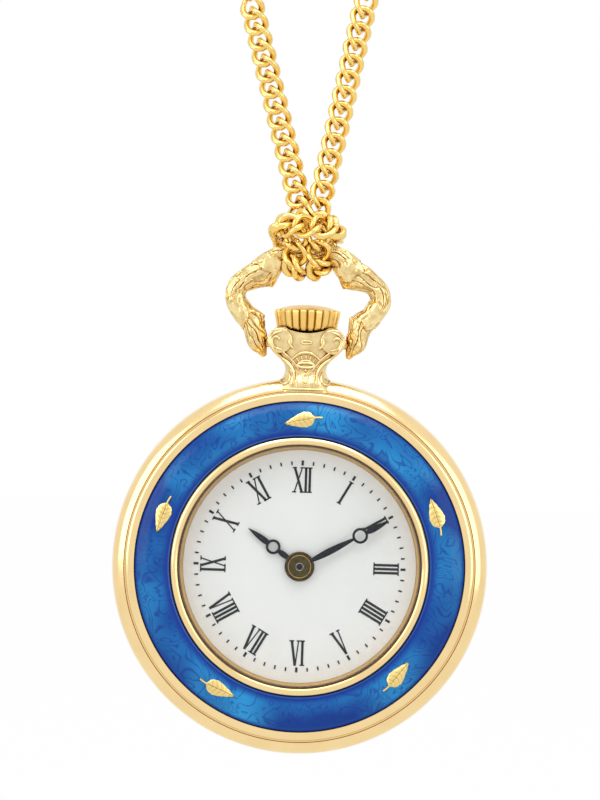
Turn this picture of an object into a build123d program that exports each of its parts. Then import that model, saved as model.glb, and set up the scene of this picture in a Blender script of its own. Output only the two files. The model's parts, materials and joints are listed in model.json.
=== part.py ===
"""A ladies' quartz pendant watch with an enamelled bezel, hanging from a curb chain.

The origin is the point that the chain is held from. +Z is up and the dial faces -Y. The watch
hangs below the origin with its middle on the Z axis, and its own heights are counted up from
the middle of the dial, which lies hang_drop below the origin.
"""
from build123d import *
from math import asin, atan2, cos, degrees, pi, radians, sin, tan
import os

os.makedirs("parts", exist_ok=True)

# Driving dimensions of the whole watch
hang_drop = 47.5            # held point of the chain above the middle of the dial
case_radius = 15.0
overrun = 1.0               # how far every cut runs past what it cuts
running_fit = 0.03          # radial clearance of a turning or sliding fit
seat_fit = 0.02             # clearance of a fixed part in its seat
air_gap = 0.15              # clear space between parts that pass each other

# Case band: the outer ring, with the bevel that frames the bezel
band_front = -2.0
band_back = 2.2
band_bore = 11.6            # radius of the opening that takes the movement
band_edge_in = 0.15         # how far the rounded side falls away at its edges
bevel_inner_radius = 13.98
bevel_front = -2.75

# Bezel: the inner ring, with the recess for the enamel and the seat of the crystal
bezel_radius = bevel_inner_radius - seat_fit
bezel_step_depth = 0.14     # narrow step just inside the bevel
bezel_step_width = 0.16
bezel_front = -2.95
enamel_outer_radius = 13.2
enamel_inner_radius = 10.27
enamel_floor = -2.45
rim_front = -3.5
rim_inner_radius = 9.73
crystal_seat = -2.85
ledge_inner_radius = 9.55
ledge_back = -2.6
skirt_thickness = 0.2
skirt_back = -1.0

# Enamel and its gold leaves
enamel_outer_front = -2.75
enamel_crown_radius = 11.7
enamel_crown_front = -3.35
enamel_inner_front = -3.15
leaf_count = 5
leaf_circle_radius = 11.62
leaf_length = 2.5
leaf_width = 1.26
leaf_stem_length = 0.68
leaf_stem_width = 0.15
leaf_relief = 0.1
leaf_turns = (-12, 16, 14, -15, -6)      # degrees each leaf leans off its circle
leaf_belly_share = 0.66                  # widest place, as a share of the length from the tip

# Crystal, its gasket and the ring round the dial
crystal_radius = 9.7
crystal_front = -3.6
crystal_chamfer = 0.2
gasket_thickness = 0.1
dial_ring_radius = 9.9
dial_ring_top_radius = 9.5
dial_ring_foot_radius = 9.28

# Dial
dial_front = -1.9
dial_back = -1.5
dial_hole_radius = 0.85
dial_foot_radius = 0.3
dial_foot_length = 0.6
dial_foot_circle = 7.9
dial_foot_angles = (48, 228)

# Hands, in degrees clockwise from twelve
hour_angle = 305.1
minute_angle = 61.3
hand_thickness = 0.14
hour_hand_back = -2.06
minute_hand_back = -2.36
hour_hub_radius = 1.19
minute_hub_radius = 0.905
hub_thickness = 0.2
hour_ring_place = 2.62
hour_ring_radius = 0.59
hour_ring_bore = 0.39
hour_tip = 5.09
hour_petal_half_width = 0.24
minute_ring_place = 5.42
minute_ring_radius = 0.63
minute_ring_bore = 0.43
minute_tip = 8.0
minute_petal_half_width = 0.28
hand_neck_half_width = 0.1
hand_point_half_width = 0.03
hand_belly_share = 0.3
hub_chamfer = 0.05
post_cap_radius = 0.33
post_cap_height = 0.12
post_eye_radius = 0.26
post_eye_height = 0.1
post_round_share = 0.6

# Main plate of the movement
plate_radius = 8.75
plate_front = dial_back
plate_back = -0.5
motion_recess_floor = -0.93
setting_recess_floor = -0.68
recess_margin = 0.12
arbor_radius = 0.25
foot_hole_margin = 0.03

# Motion work: the gears under the dial that drive the hour hand
motion_module = 0.1
cannon_teeth = 10
minute_wheel_teeth = 30
minute_pinion_teeth = 8
hour_wheel_teeth = 32
setting_teeth = 10
hour_gear_back = -1.24
hour_gear_thickness = 0.18
minute_gear_back = -0.98
minute_gear_thickness = 0.2
cannon_pipe_radius = 0.38
hour_pipe_radius = 0.6
stud_radius = 0.15
setting_gear_back = -0.76

# Going train: rotor, intermediate wheel and centre wheel behind the plate
centre_module = 0.08
centre_teeth = 60
centre_pinion_teeth = 8
centre_gear_back = -0.22
train_module = 0.07
train_teeth = 48
rotor_pinion_teeth = 6
train_gear_back = 0.25
wheel_thickness = 0.15
pinion_margin = 0.06
intermediate_direction = 215.0           # degrees, seen from the front
rotor_direction = 199.86
train_arbor_radius = 0.12
pivot_radius = 0.08
rotor_magnet_radius = 0.6
rotor_magnet_back = -0.08
rotor_magnet_thickness = 0.36
tooth_tip_share = 0.28                   # tooth widths as shares of the pitch
tooth_root_share = 0.57
addendum_share = 0.9                     # tooth heights as shares of the module
dedendum_share = 1.15

# Stator, coil, battery and circuit
stator_front = -0.45
stator_thickness = 0.3
stator_eye_radius = 1.15
stator_bore = 0.75
stator_arm_width = 0.85
coil_x = -6.2
coil_middle_z = -0.9
coil_length = 6.6
coil_radius = 0.95
coil_well_margin = 0.1
core_width = 0.6
core_length = 8.4
core_land_width = 1.2
core_land_length = 0.85
battery_radius = 2.9
battery_height = 2.1
battery_lip = 0.25
battery_x = 4.1
battery_z = -3.9
strap_thickness = 0.15
strap_width = 1.5
strap_foot_width = 0.7
board_thickness = 0.25
board_back = 0.05
board_width = 2.4
board_height = 2.4
board_x = -4.6
board_z = 5.3
board_post_width = 0.4
chip_height = 0.5
can_radius = 0.6
can_length = 4.4
can_x = -2.55
can_z = 5.0

# Train bridge
bridge_front = 0.62
bridge_back = 1.0
bridge_half_width = 1.0
pillar_radius = 0.55
bridge_screw_head_radius = 0.5
bridge_screw_head_height = 0.25
bridge_screw_radius = 0.25
slot_width = 0.14
slot_depth = 0.1
bridge_pillars = ((3.35, 29), (3.35, 151), (3.3, 262))     # radius and angle of each pillar
bridge_rotor_pad = 0.7

# Winding stem, clutch and setting lever
stem_radius = 0.4
stem_pilot_radius = 0.22
stem_square = 0.54
stem_foot_z = 3.95
stem_square_foot_z = 4.62
stem_square_top_z = 6.6
stem_groove_foot_z = 7.23
stem_groove_width = 0.44
stem_groove_radius = 0.22
clutch_radius = 0.88
clutch_foot_z = 5.0
clutch_length = 0.9
clutch_teeth = 12
clutch_tooth_depth = 0.2
pilot_block_top_z = 4.5
guide_block_foot_z = 6.15
guide_block_top_z = 6.9
block_half_width = 1.1
block_back = 0.7
crown_travel = 1.0
lever_arm = 2.2
lever_finger_width = 0.16
lever_eye_radius = 0.45
lever_front = -0.47
lever_thickness = 0.21
lever_post_radius = 0.2
dial_gap = 0.1               # the lever's post ends this far behind the dial

# Movement ring
movement_ring_radius = 11.1
movement_ring_back = 1.9
movement_ring_slot = 1.3

# Back cover
cover_edge_radius = case_radius - 0.18
cover_rim_back = 2.75
cover_rim_radius = 14.2
cover_flat_radius = 9.0
cover_back = 3.6
cover_inner_front = 2.45
cover_lip_thickness = 0.4
cover_lip_front = 1.0
cover_gasket_width = 0.16
cover_gasket_height = 0.5
cover_gasket_front = 1.45

# Pendant, the neck that carries the bow and the crown
neck_section_heights = (13.6, 14.6, 15.55, 16.7, 17.8, 18.5, 19.05)
neck_section_widths = (5.2, 4.6, 3.3, 4.6, 6.1, 5.7, 4.9)
neck_section_depths = (4.7, 4.0, 2.9, 3.5, 4.1, 3.9, 3.5)
neck_corner_share = 0.36                 # corner radius as a share of a section's depth
volute_x = 2.05
volute_z = 17.95
volute_radius = 0.98
volute_depth = 4.5
tube_radius = 0.7
tube_foot_z = 11.7
tube_top_z = 19.55

# Crown
crown_top_radius = 2.66
crown_low_radius = 2.38
crown_side_foot_z = 19.0
crown_side_top_z = 20.4
crown_dome_z = 20.86
crown_bowl_z = 18.36
crown_bowl_flat_radius = 1.2
crown_flutes = 24
flute_depth = 0.13
flute_shares = (0.2, 0.8)                # where each rib starts and ends in its pitch
bowl_slope_share = 0.6
crown_recess_radius = 0.86
crown_recess_top_z = 19.95
bowl_rise_share = 0.36
dome_rise_share = 0.86
crown_bore_top_z = 20.45
gasket_foot_z = 18.6
gasket_height = 0.3

# Bow: half of its centre line, from the tip to the top, and the bar's radius at each point
bow_pivot_z = 17.8
bow_line_x = (3.86, 3.95, 4.42, 5.2, 5.78, 5.62, 4.85, 3.7, 2.4, 1.2, 0)
bow_line_z = (16.75, 17.8, 19.25, 20.2, 21.2, 22.15, 22.95, 23.75, 24.72, 25.12, 25.2)
bow_bar_radii = (0.5, 0.8, 0.8, 0.84, 0.84, 0.84, 0.84, 0.84, 0.8, 0.78, 0.78)
bow_inner_x = 3.18
bow_flat_top_z = 18.7
bow_pin_radius = 0.4
bow_pin_tip_x = 2.62
bow_pin_fit = 0.05
cusp_low = (4.25, 19.55, 3.42, 19.9)     # root x, root z, tip x, tip z
cusp_high = (3.9, 23.2, 3.1, 22.25)
cusp_root_radius = 0.62
cusp_tip_radius = 0.12

# Chain
wire_radius = 0.25
link_half_length = 0.95
link_half_width = 0.75
link_twist = 0.36
link_pitch = 1.3
link_sections = 12
wire_sides = 6
knot_x = -0.2
left_strand_foot = (-1.1, 0.3, 29.7)    # middle of the lowest link: across, depth, height
left_strand_link_count = 13
left_strand_lean = 15.4                  # degrees off the vertical
right_strand_foot = (0.85, -0.3, 29.7)
right_strand_link_count = 13
right_strand_lean = -11.0
hitch_radius = 0.5
# half of the hitch's route: across from knot_x, depth and height
hitch_across = (0.7, 0.82, 0.95, 1.05, 2.2, 2.2)
hitch_depth = (0, -1.55, -1.55, 1.55, 1.55, -2.75)
hitch_height = (28.3, 26.9, 23.65, 23.65, 27.1, 27.1)
hitch_run_share = 0.45

# Rings and clasp at the ends of the chain
jump_ring_radius = 0.9
jump_wire_radius = 0.22
jump_ring_grip = 0.45                    # how far its wire lies beyond the last link's middle
clasp_radius = 2.2
clasp_tube_radius = 0.55
clasp_tube_bore = 0.38
clasp_gap_half_angle = 22.0
clasp_gap_middle = 300.0
clasp_eye_radius = 0.6
clasp_eye_wire = 0.2
clasp_eye_grip = 0.5
clasp_bolt_travel = 40.0
clasp_bolt_reach = 52.0                  # degrees that the bolt stays inside the tube
clasp_bolt_nose = 3.0                    # degrees between the bolt's nose and the far mouth
clasp_knob_radius = 0.25
clasp_knob_height = 0.75
clasp_slot_half_width = 0.3
clasp_slot_margin = 4.0                  # degrees
clasp_knob_arc = 16.0                    # degrees of the ring that the knob takes
clasp_socket_arc = 12.0
ring_sides = 8
slot_steps = 6

case_z = -hang_drop
watch_axis = Axis((0, 0, case_z), (0, 1, 0))
section_plane = Plane.XY.offset(case_z)  # x is a radius of the watch, y is its depth


def front(depth):
    """The plane at this depth that is read from the front: x to the right and y up."""
    return Plane(origin=(0, depth, case_z), x_dir=(1, 0, 0), z_dir=(0, -1, 0))


def level(height):
    """The level plane at this height above the middle of the dial."""
    return Plane.XY.offset(case_z + height)


def clock_turn(angle):
    """Turn that carries a shape drawn towards twelve to this clockwise angle."""
    return -angle


def polar(radius, angle):
    """Place at this radius and anticlockwise angle, in degrees from the right."""
    return (radius * cos(radians(angle)), radius * sin(radians(angle)))


def gear_outline(teeth, module):
    """Outline of a spur gear with straight-sided teeth, one tooth pointing to the right."""
    pitch_radius = teeth * module / 2
    pitch_angle = 2 * pi / teeth
    tip_radius = pitch_radius + addendum_share * module
    root_radius = pitch_radius - dedendum_share * module
    points = []
    for tooth in range(teeth):
        middle = tooth * pitch_angle
        for radius, share in ((root_radius, -tooth_root_share), (tip_radius, -tooth_tip_share),
                              (tip_radius, tooth_tip_share), (root_radius, tooth_root_share)):
            angle = middle + share * pitch_angle / 2
            points.append((radius * cos(angle), radius * sin(angle)))
    with BuildSketch() as outline:
        with BuildLine():
            Polyline(*points, close=True)
        make_face()
    return outline.sketch


def mesh_turn(driver_turn, driver_teeth, teeth, direction):
    """Turn of a gear whose gap meets the driver's tooth on the line of centres."""
    driver_phase = (direction - driver_turn) % (360 / driver_teeth)
    own_phase = driver_phase * driver_teeth / teeth
    return direction + 180 + own_phase + 180 / teeth


# Case band
with BuildPart() as case_band:
    with BuildSketch(section_plane):
        with BuildLine():
            Polyline((bevel_inner_radius, bevel_front), (case_radius - band_edge_in, band_front))
            ThreePointArc((case_radius - band_edge_in, band_front),
                          (case_radius, (band_front + band_back) / 2),
                          (case_radius - band_edge_in, band_back))
            Polyline((case_radius - band_edge_in, band_back), (band_bore, band_back),
                     (band_bore, band_front), (bevel_inner_radius, band_front),
                     (bevel_inner_radius, bevel_front))
        make_face()
    revolve(axis=watch_axis)
    with BuildSketch(level(band_bore - overrun)):
        Circle(tube_radius + seat_fit)
    extrude(amount=case_radius - band_bore + 2 * overrun, mode=Mode.SUBTRACT)
case_band.part.label = "case_band"
export_step(case_band.part, "parts/case_band.step")

# Bezel
with BuildPart() as bezel:
    with BuildSketch(section_plane):
        with BuildLine():
            Polyline((bezel_radius, band_front), (bezel_radius, bezel_front + bezel_step_depth * 2),
                     (bezel_radius - bezel_step_width, bezel_front + bezel_step_depth * 2),
                     (bezel_radius - bezel_step_width, bezel_front),
                     (enamel_outer_radius, bezel_front), (enamel_outer_radius, enamel_floor),
                     (enamel_inner_radius, enamel_floor), (enamel_inner_radius, rim_front),
                     (rim_inner_radius, rim_front), (rim_inner_radius, crystal_seat),
                     (ledge_inner_radius, crystal_seat), (ledge_inner_radius, ledge_back),
                     (dial_ring_radius + seat_fit * 2, ledge_back),
                     (dial_ring_radius + seat_fit * 2, band_front),
                     (band_bore - seat_fit - skirt_thickness, band_front),
                     (band_bore - seat_fit - skirt_thickness, skirt_back),
                     (band_bore - seat_fit, skirt_back), (band_bore - seat_fit, band_front),
                     close=True)
        make_face()
    revolve(axis=watch_axis)
bezel.part.label = "bezel"
export_step(bezel.part, "parts/bezel.step")

# Enamel, a convex ring fired in the bezel's recess
with BuildPart() as enamel_ring:
    with BuildSketch(section_plane):
        with BuildLine():
            Polyline((enamel_outer_radius - seat_fit, enamel_outer_front),
                     (enamel_outer_radius - seat_fit, enamel_floor),
                     (enamel_inner_radius + seat_fit, enamel_floor),
                     (enamel_inner_radius + seat_fit, enamel_inner_front))
            ThreePointArc((enamel_inner_radius + seat_fit, enamel_inner_front),
                          (enamel_crown_radius, enamel_crown_front),
                          (enamel_outer_radius - seat_fit, enamel_outer_front))
        make_face()
    revolve(axis=watch_axis)
enamel_ring.part.label = "enamel_ring"
export_step(enamel_ring.part, "parts/enamel_ring.step")


def leaf_outline():
    """A pointed leaf along +X, tip first, with its stem behind it, centred on its body."""
    belly = leaf_length / 2 - leaf_belly_share * leaf_length
    with BuildSketch() as outline:
        with BuildLine():
            Spline((leaf_length / 2, 0), (belly, leaf_width / 2), tangents=((-1, 0.42), (-1, 0)))
            Spline((belly, leaf_width / 2), (-leaf_length / 2, 0), tangents=((-1, 0), (-0.3, -1)))
            mirror(about=Plane.XZ)
        make_face()
        with Locations((-leaf_length / 2 - leaf_stem_length / 2 + leaf_stem_width, 0)):
            Rectangle(leaf_stem_length + leaf_stem_width, leaf_stem_width)
    return outline.sketch


# Gold leaves, thin pieces that follow the enamel's curve
with BuildPart() as gold_leaves:
    with BuildSketch(front(enamel_floor)):
        for leaf in range(leaf_count):
            around = 90 + leaf * 360 / leaf_count
            with Locations(polar(leaf_circle_radius, around)):
                add(leaf_outline(), rotation=around + 90 + leaf_turns[leaf])
    extrude(amount=enamel_floor - rim_front + leaf_relief)
    with BuildSketch(section_plane):
        with BuildLine():
            ThreePointArc((enamel_inner_radius + seat_fit, enamel_inner_front - seat_fit),
                          (enamel_crown_radius, enamel_crown_front - seat_fit),
                          (enamel_outer_radius - seat_fit, enamel_outer_front - seat_fit))
            Polyline((enamel_outer_radius - seat_fit, enamel_outer_front - seat_fit),
                     (enamel_outer_radius - seat_fit, enamel_outer_front - leaf_relief))
            ThreePointArc((enamel_outer_radius - seat_fit, enamel_outer_front - leaf_relief),
                          (enamel_crown_radius, enamel_crown_front - leaf_relief),
                          (enamel_inner_radius + seat_fit, enamel_inner_front - leaf_relief))
            Polyline((enamel_inner_radius + seat_fit, enamel_inner_front - leaf_relief),
                     (enamel_inner_radius + seat_fit, enamel_inner_front - seat_fit))
        make_face()
    revolve(axis=watch_axis, mode=Mode.INTERSECT)
gold_leaves.part.label = "gold_leaves"
export_step(gold_leaves.part, "parts/gold_leaves.step")

# Crystal gasket
with BuildPart() as crystal_gasket:
    with BuildSketch(front(crystal_seat)):
        Circle(rim_inner_radius - seat_fit / 2)
        Circle(ledge_inner_radius + seat_fit, mode=Mode.SUBTRACT)
    extrude(amount=gasket_thickness)
crystal_gasket.part.label = "crystal_gasket"
export_step(crystal_gasket.part, "parts/crystal_gasket.step")

# Crystal, a flat mineral glass with a bevelled edge
with BuildPart() as crystal:
    with BuildSketch(front(crystal_seat - gasket_thickness)):
        Circle(crystal_radius)
    extrude(amount=crystal_seat - gasket_thickness - crystal_front)
    chamfer(crystal.faces().sort_by(Axis.Y)[0].edges(), length=crystal_chamfer)
crystal.part.label = "crystal"
export_step(crystal.part, "parts/crystal.step")

# Dial ring, the sloping grained ring between the dial and the crystal
with BuildPart() as dial_ring:
    with BuildSketch(section_plane):
        with BuildLine():
            Polyline((dial_ring_radius, dial_front), (dial_ring_radius, ledge_back),
                     (dial_ring_top_radius, ledge_back), (dial_ring_foot_radius, dial_front),
                     close=True)
        make_face()
    revolve(axis=watch_axis)
dial_ring.part.label = "dial_ring"
export_step(dial_ring.part, "parts/dial_ring.step")

# Dial, a disc with two feet that pin it to the main plate
with BuildPart() as dial:
    with BuildSketch(front(dial_back)):
        Circle(dial_ring_radius)
        Circle(dial_hole_radius, mode=Mode.SUBTRACT)
    extrude(amount=dial_back - dial_front)
    with BuildSketch(front(dial_back)):
        for angle in dial_foot_angles:
            with Locations(polar(dial_foot_circle, angle)):
                Circle(dial_foot_radius)
    extrude(amount=-dial_foot_length)
dial.part.label = "dial"
export_step(dial.part, "parts/dial.step")

# Places of the gears, seen from the front
motion_distance = (cannon_teeth + minute_wheel_teeth) * motion_module / 2
minute_wheel_place = (0, motion_distance)
setting_distance = (minute_wheel_teeth + setting_teeth) * motion_module / 2
setting_wheel_place = (0, motion_distance + setting_distance)
intermediate_distance = (centre_teeth + centre_pinion_teeth) * centre_module / 2
intermediate_place = polar(intermediate_distance, intermediate_direction)
rotor_distance = (train_teeth + rotor_pinion_teeth) * train_module / 2
rotor_step = polar(rotor_distance, rotor_direction)
rotor_place = (intermediate_place[0] + rotor_step[0], intermediate_place[1] + rotor_step[1])

minute_gear_front = minute_gear_back - minute_gear_thickness
hour_gear_front = hour_gear_back - hour_gear_thickness
pivot_top = bridge_back - seat_fit
core_back = stator_front + stator_thickness + core_width
core_middle = core_back - core_width / 2

# Main plate, with its recess for the motion work and the blocks that guide the stem
with BuildPart() as main_plate:
    with BuildSketch(front(plate_back)):
        Circle(plate_radius)
    extrude(amount=plate_back - plate_front)
    with BuildSketch(front(plate_back)):
        with Locations((0, (stem_foot_z - seat_fit + pilot_block_top_z) / 2)):
            Rectangle(block_half_width * 2, pilot_block_top_z - stem_foot_z + seat_fit)
        with Locations((0, (guide_block_foot_z + guide_block_top_z) / 2)):
            Rectangle(block_half_width * 2, guide_block_top_z - guide_block_foot_z)
    extrude(amount=-(block_back - plate_back))
    with BuildSketch(front(plate_front)):
        Circle(hour_wheel_teeth * motion_module / 2 + motion_module + recess_margin)
        with Locations(minute_wheel_place):
            Circle(minute_wheel_teeth * motion_module / 2 + motion_module + recess_margin)
    extrude(amount=-(motion_recess_floor - plate_front), mode=Mode.SUBTRACT)
    with BuildSketch(front(plate_front)):
        with Locations(setting_wheel_place):
            Circle(setting_teeth * motion_module / 2 + motion_module + recess_margin)
    extrude(amount=-(setting_recess_floor - plate_front), mode=Mode.SUBTRACT)
    with BuildSketch(front(plate_back)):
        Circle(arbor_radius + running_fit)
        with Locations((0, clutch_foot_z + clutch_length / 2)):
            Rectangle((clutch_radius + recess_margin) * 2, clutch_length + recess_margin * 2)
        for angle in dial_foot_angles:
            with Locations(polar(dial_foot_circle, angle)):
                Circle(dial_foot_radius + foot_hole_margin)
        with Locations((lever_arm * cos(asin(crown_travel / 2 / lever_arm)),
                        stem_groove_foot_z + stem_groove_width / 2 + crown_travel / 2)):
            Circle(lever_post_radius)
    extrude(amount=plate_back - plate_front, mode=Mode.SUBTRACT)
    with BuildSketch(front(core_middle - coil_radius - coil_well_margin)):
        with Locations((coil_x, coil_middle_z)):
            Rectangle((coil_radius + coil_well_margin) * 2, coil_length + 2 * coil_well_margin)
    extrude(amount=-plate_radius, mode=Mode.SUBTRACT)
    with BuildSketch(level(0)):
        Circle(stem_pilot_radius + running_fit)
    extrude(amount=pilot_block_top_z + overrun / 2, mode=Mode.SUBTRACT)
    with BuildSketch(level(guide_block_foot_z - overrun / 2)):
        Circle(stem_radius + running_fit)
    extrude(amount=guide_block_top_z - guide_block_foot_z + overrun, mode=Mode.SUBTRACT)
    # studs that the minute wheel and the setting wheel turn on
    with BuildSketch(front(motion_recess_floor)):
        with Locations(minute_wheel_place):
            Circle(stud_radius)
    extrude(amount=motion_recess_floor - hour_gear_front)
    with BuildSketch(front(setting_recess_floor)):
        with Locations(setting_wheel_place):
            Circle(stud_radius)
    extrude(amount=setting_recess_floor - minute_gear_front)
main_plate.part.label = "main_plate"
export_step(main_plate.part, "parts/main_plate.step")

# Turns of the gears, so that teeth meet gaps in the pose of rest
cannon_turn = 0
minute_wheel_turn = mesh_turn(cannon_turn, cannon_teeth, minute_wheel_teeth, 90)
hour_wheel_turn = mesh_turn(minute_wheel_turn, minute_pinion_teeth, hour_wheel_teeth, 270)
setting_turn = mesh_turn(minute_wheel_turn, minute_wheel_teeth, setting_teeth, 90)
centre_turn = 0
intermediate_turn = mesh_turn(centre_turn, centre_teeth, centre_pinion_teeth, intermediate_direction)
rotor_turn = mesh_turn(intermediate_turn, train_teeth, rotor_pinion_teeth, rotor_direction)

# Centre wheel on its arbor, which reaches through the plate to the minute hand
with BuildPart() as centre_wheel:
    with BuildSketch(front(centre_gear_back)):
        add(gear_outline(centre_teeth, centre_module), rotation=centre_turn)
    extrude(amount=wheel_thickness)
    with BuildSketch(front(centre_gear_back)):
        Circle(arbor_radius)
    extrude(amount=centre_gear_back - minute_hand_back)
    with BuildSketch(front(centre_gear_back)):
        Circle(arbor_radius)
    extrude(amount=-(bridge_front - air_gap / 2 - centre_gear_back))
    with BuildSketch(front(bridge_front - air_gap / 2)):
        Circle(pivot_radius)
    extrude(amount=-(pivot_top - bridge_front + air_gap / 2))
centre_wheel.part.label = "centre_wheel"
export_step(centre_wheel.part, "parts/centre_wheel.step")

# Cannon pinion, whose pipe carries the minute hand
with BuildPart() as cannon_pinion:
    with BuildSketch(front(minute_gear_back)):
        add(gear_outline(cannon_teeth, motion_module), rotation=cannon_turn)
    extrude(amount=minute_gear_thickness)
    with BuildSketch(front(minute_gear_front)):
        Circle(cannon_pipe_radius)
    extrude(amount=minute_gear_front - minute_hand_back)
    with BuildSketch(front(minute_gear_back + overrun)):
        Circle(arbor_radius + seat_fit)
    extrude(amount=minute_gear_back - minute_hand_back + 2 * overrun, mode=Mode.SUBTRACT)
cannon_pinion.part.label = "cannon_pinion"
export_step(cannon_pinion.part, "parts/cannon_pinion.step")

# Minute wheel and its pinion
with BuildPart() as minute_wheel:
    with BuildSketch(front(minute_gear_back)):
        with Locations(minute_wheel_place):
            add(gear_outline(minute_wheel_teeth, motion_module), rotation=minute_wheel_turn)
    extrude(amount=minute_gear_thickness)
    with BuildSketch(front(minute_gear_front)):
        with Locations(minute_wheel_place):
            add(gear_outline(minute_pinion_teeth, motion_module), rotation=minute_wheel_turn)
    extrude(amount=minute_gear_front - hour_gear_front)
    with BuildSketch(front(minute_gear_back + overrun)):
        with Locations(minute_wheel_place):
            Circle(stud_radius + running_fit)
    extrude(amount=minute_gear_back - hour_gear_front + 2 * overrun, mode=Mode.SUBTRACT)
minute_wheel.part.label = "minute_wheel"
export_step(minute_wheel.part, "parts/minute_wheel.step")

# Hour wheel, whose pipe carries the hour hand
with BuildPart() as hour_wheel:
    with BuildSketch(front(hour_gear_back)):
        add(gear_outline(hour_wheel_teeth, motion_module), rotation=hour_wheel_turn)
    extrude(amount=hour_gear_thickness)
    with BuildSketch(front(hour_gear_front)):
        Circle(hour_pipe_radius)
    extrude(amount=hour_gear_front - hour_hand_back)
    with BuildSketch(front(hour_gear_back + overrun)):
        Circle(cannon_pipe_radius + running_fit)
    extrude(amount=hour_gear_back - hour_hand_back + 2 * overrun, mode=Mode.SUBTRACT)
hour_wheel.part.label = "hour_wheel"
export_step(hour_wheel.part, "parts/hour_wheel.step")

# Setting wheel, between the minute wheel and the clutch
with BuildPart() as setting_wheel:
    with BuildSketch(front(setting_gear_back)):
        with Locations(setting_wheel_place):
            add(gear_outline(setting_teeth, motion_module), rotation=setting_turn)
            Circle(stud_radius + running_fit, mode=Mode.SUBTRACT)
    extrude(amount=setting_gear_back - minute_gear_front)
setting_wheel.part.label = "setting_wheel"
export_step(setting_wheel.part, "parts/setting_wheel.step")

# Intermediate wheel with the pinion that drives the centre wheel
with BuildPart() as intermediate_wheel:
    with BuildSketch(front(train_gear_back)):
        with Locations(intermediate_place):
            add(gear_outline(train_teeth, train_module), rotation=intermediate_turn)
    extrude(amount=wheel_thickness)
    with BuildSketch(front(train_gear_back - wheel_thickness)):
        with Locations(intermediate_place):
            add(gear_outline(centre_pinion_teeth, centre_module), rotation=intermediate_turn)
    extrude(amount=train_gear_back - centre_gear_back + pinion_margin)
    with BuildSketch(front(train_gear_back)):
        with Locations(intermediate_place):
            Circle(train_arbor_radius)
    extrude(amount=-(bridge_front - air_gap / 2 - train_gear_back))
    with BuildSketch(front(plate_back + seat_fit)):
        with Locations(intermediate_place):
            Circle(pivot_radius)
    extrude(amount=-(pivot_top - plate_back - seat_fit))
intermediate_wheel.part.label = "intermediate_wheel"
export_step(intermediate_wheel.part, "parts/intermediate_wheel.step")

# Rotor, a round magnet on an arbor with a small pinion
with BuildPart() as rotor:
    with BuildSketch(front(rotor_magnet_back)):
        with Locations(rotor_place):
            Circle(rotor_magnet_radius)
    extrude(amount=rotor_magnet_thickness)
    with BuildSketch(front(rotor_magnet_back)):
        with Locations(rotor_place):
            add(gear_outline(rotor_pinion_teeth, train_module), rotation=rotor_turn)
    extrude(amount=-(train_gear_back + pinion_margin - rotor_magnet_back))
    with BuildSketch(front(plate_back + seat_fit)):
        with Locations(rotor_place):
            Circle(pivot_radius)
    extrude(amount=-(pivot_top - plate_back - seat_fit))
rotor.part.label = "rotor"
export_step(rotor.part, "parts/rotor.step")

# Stator, a plate with an eye round the rotor and arms to the two ends of the coil's core
core_end_z = core_length / 2 - core_land_length / 2
upper_land = (coil_x, coil_middle_z + core_end_z)
lower_land = (coil_x, coil_middle_z - core_end_z)
with BuildPart() as stator:
    with BuildSketch(front(stator_front + stator_thickness)):
        with Locations(rotor_place):
            Circle(stator_eye_radius)
        for land in (upper_land, lower_land):
            with Locations(land):
                Rectangle(core_land_width, core_land_length)
            with BuildLine():
                Polyline(rotor_place, (rotor_place[0], land[1]), land)
            trace(line_width=stator_arm_width)
        with Locations(rotor_place):
            Circle(stator_bore, mode=Mode.SUBTRACT)
        with Locations(intermediate_place):
            Circle(centre_pinion_teeth * centre_module + air_gap, mode=Mode.SUBTRACT)
    extrude(amount=stator_thickness)
stator.part.label = "stator"
export_step(stator.part, "parts/stator.step")

# Coil core, a flat bar whose ends lie on the stator
with BuildPart() as coil_core:
    with BuildSketch(front(core_back)):
        with Locations((coil_x, coil_middle_z)):
            Rectangle(core_width, core_length)
        with Locations(upper_land, lower_land):
            Rectangle(core_land_width, core_land_length)
    extrude(amount=core_width)
coil_core.part.label = "coil_core"
export_step(coil_core.part, "parts/coil_core.step")

# Coil, a wound spool round the core, sunk in its well in the plate
with BuildPart() as coil:
    with BuildSketch(level(coil_middle_z - coil_length / 2)):
        with Locations((coil_x, core_middle)):
            Circle(coil_radius)
            Rectangle(core_width + 2 * seat_fit, core_width + 2 * seat_fit, mode=Mode.SUBTRACT)
    extrude(amount=coil_length)
coil.part.label = "coil"
export_step(coil.part, "parts/coil.step")

# Battery cell and the strap that holds it
battery_front = plate_back + seat_fit
battery_back = battery_front + battery_height
with BuildPart() as battery_cell:
    with BuildSketch(front(battery_back)):
        with Locations((battery_x, battery_z)):
            Circle(battery_radius)
    extrude(amount=battery_height - battery_lip)
    with BuildSketch(front(battery_front + battery_lip)):
        with Locations((battery_x, battery_z)):
            Circle(battery_radius - battery_lip)
    extrude(amount=battery_lip)
battery_cell.part.label = "battery_cell"
export_step(battery_cell.part, "parts/battery_cell.step")

strap_turn = degrees(atan2(battery_z, battery_x))
strap_length = 2 * (battery_radius + strap_foot_width)
with BuildPart() as battery_strap:
    with BuildSketch(front(battery_back + strap_thickness)):
        with Locations(Location((battery_x, battery_z, 0), (0, 0, strap_turn + 90))):
            Rectangle(strap_length, strap_width)
    extrude(amount=strap_thickness)
    with BuildSketch(front(battery_back)):
        with Locations(Location((battery_x, battery_z, 0), (0, 0, strap_turn + 90))):
            with GridLocations(strap_length - strap_foot_width + seat_fit, 0, 2, 1):
                Rectangle(strap_foot_width - seat_fit, strap_width)
    extrude(amount=battery_back - plate_back - seat_fit)
battery_strap.part.label = "battery_strap"
export_step(battery_strap.part, "parts/battery_strap.step")

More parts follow.
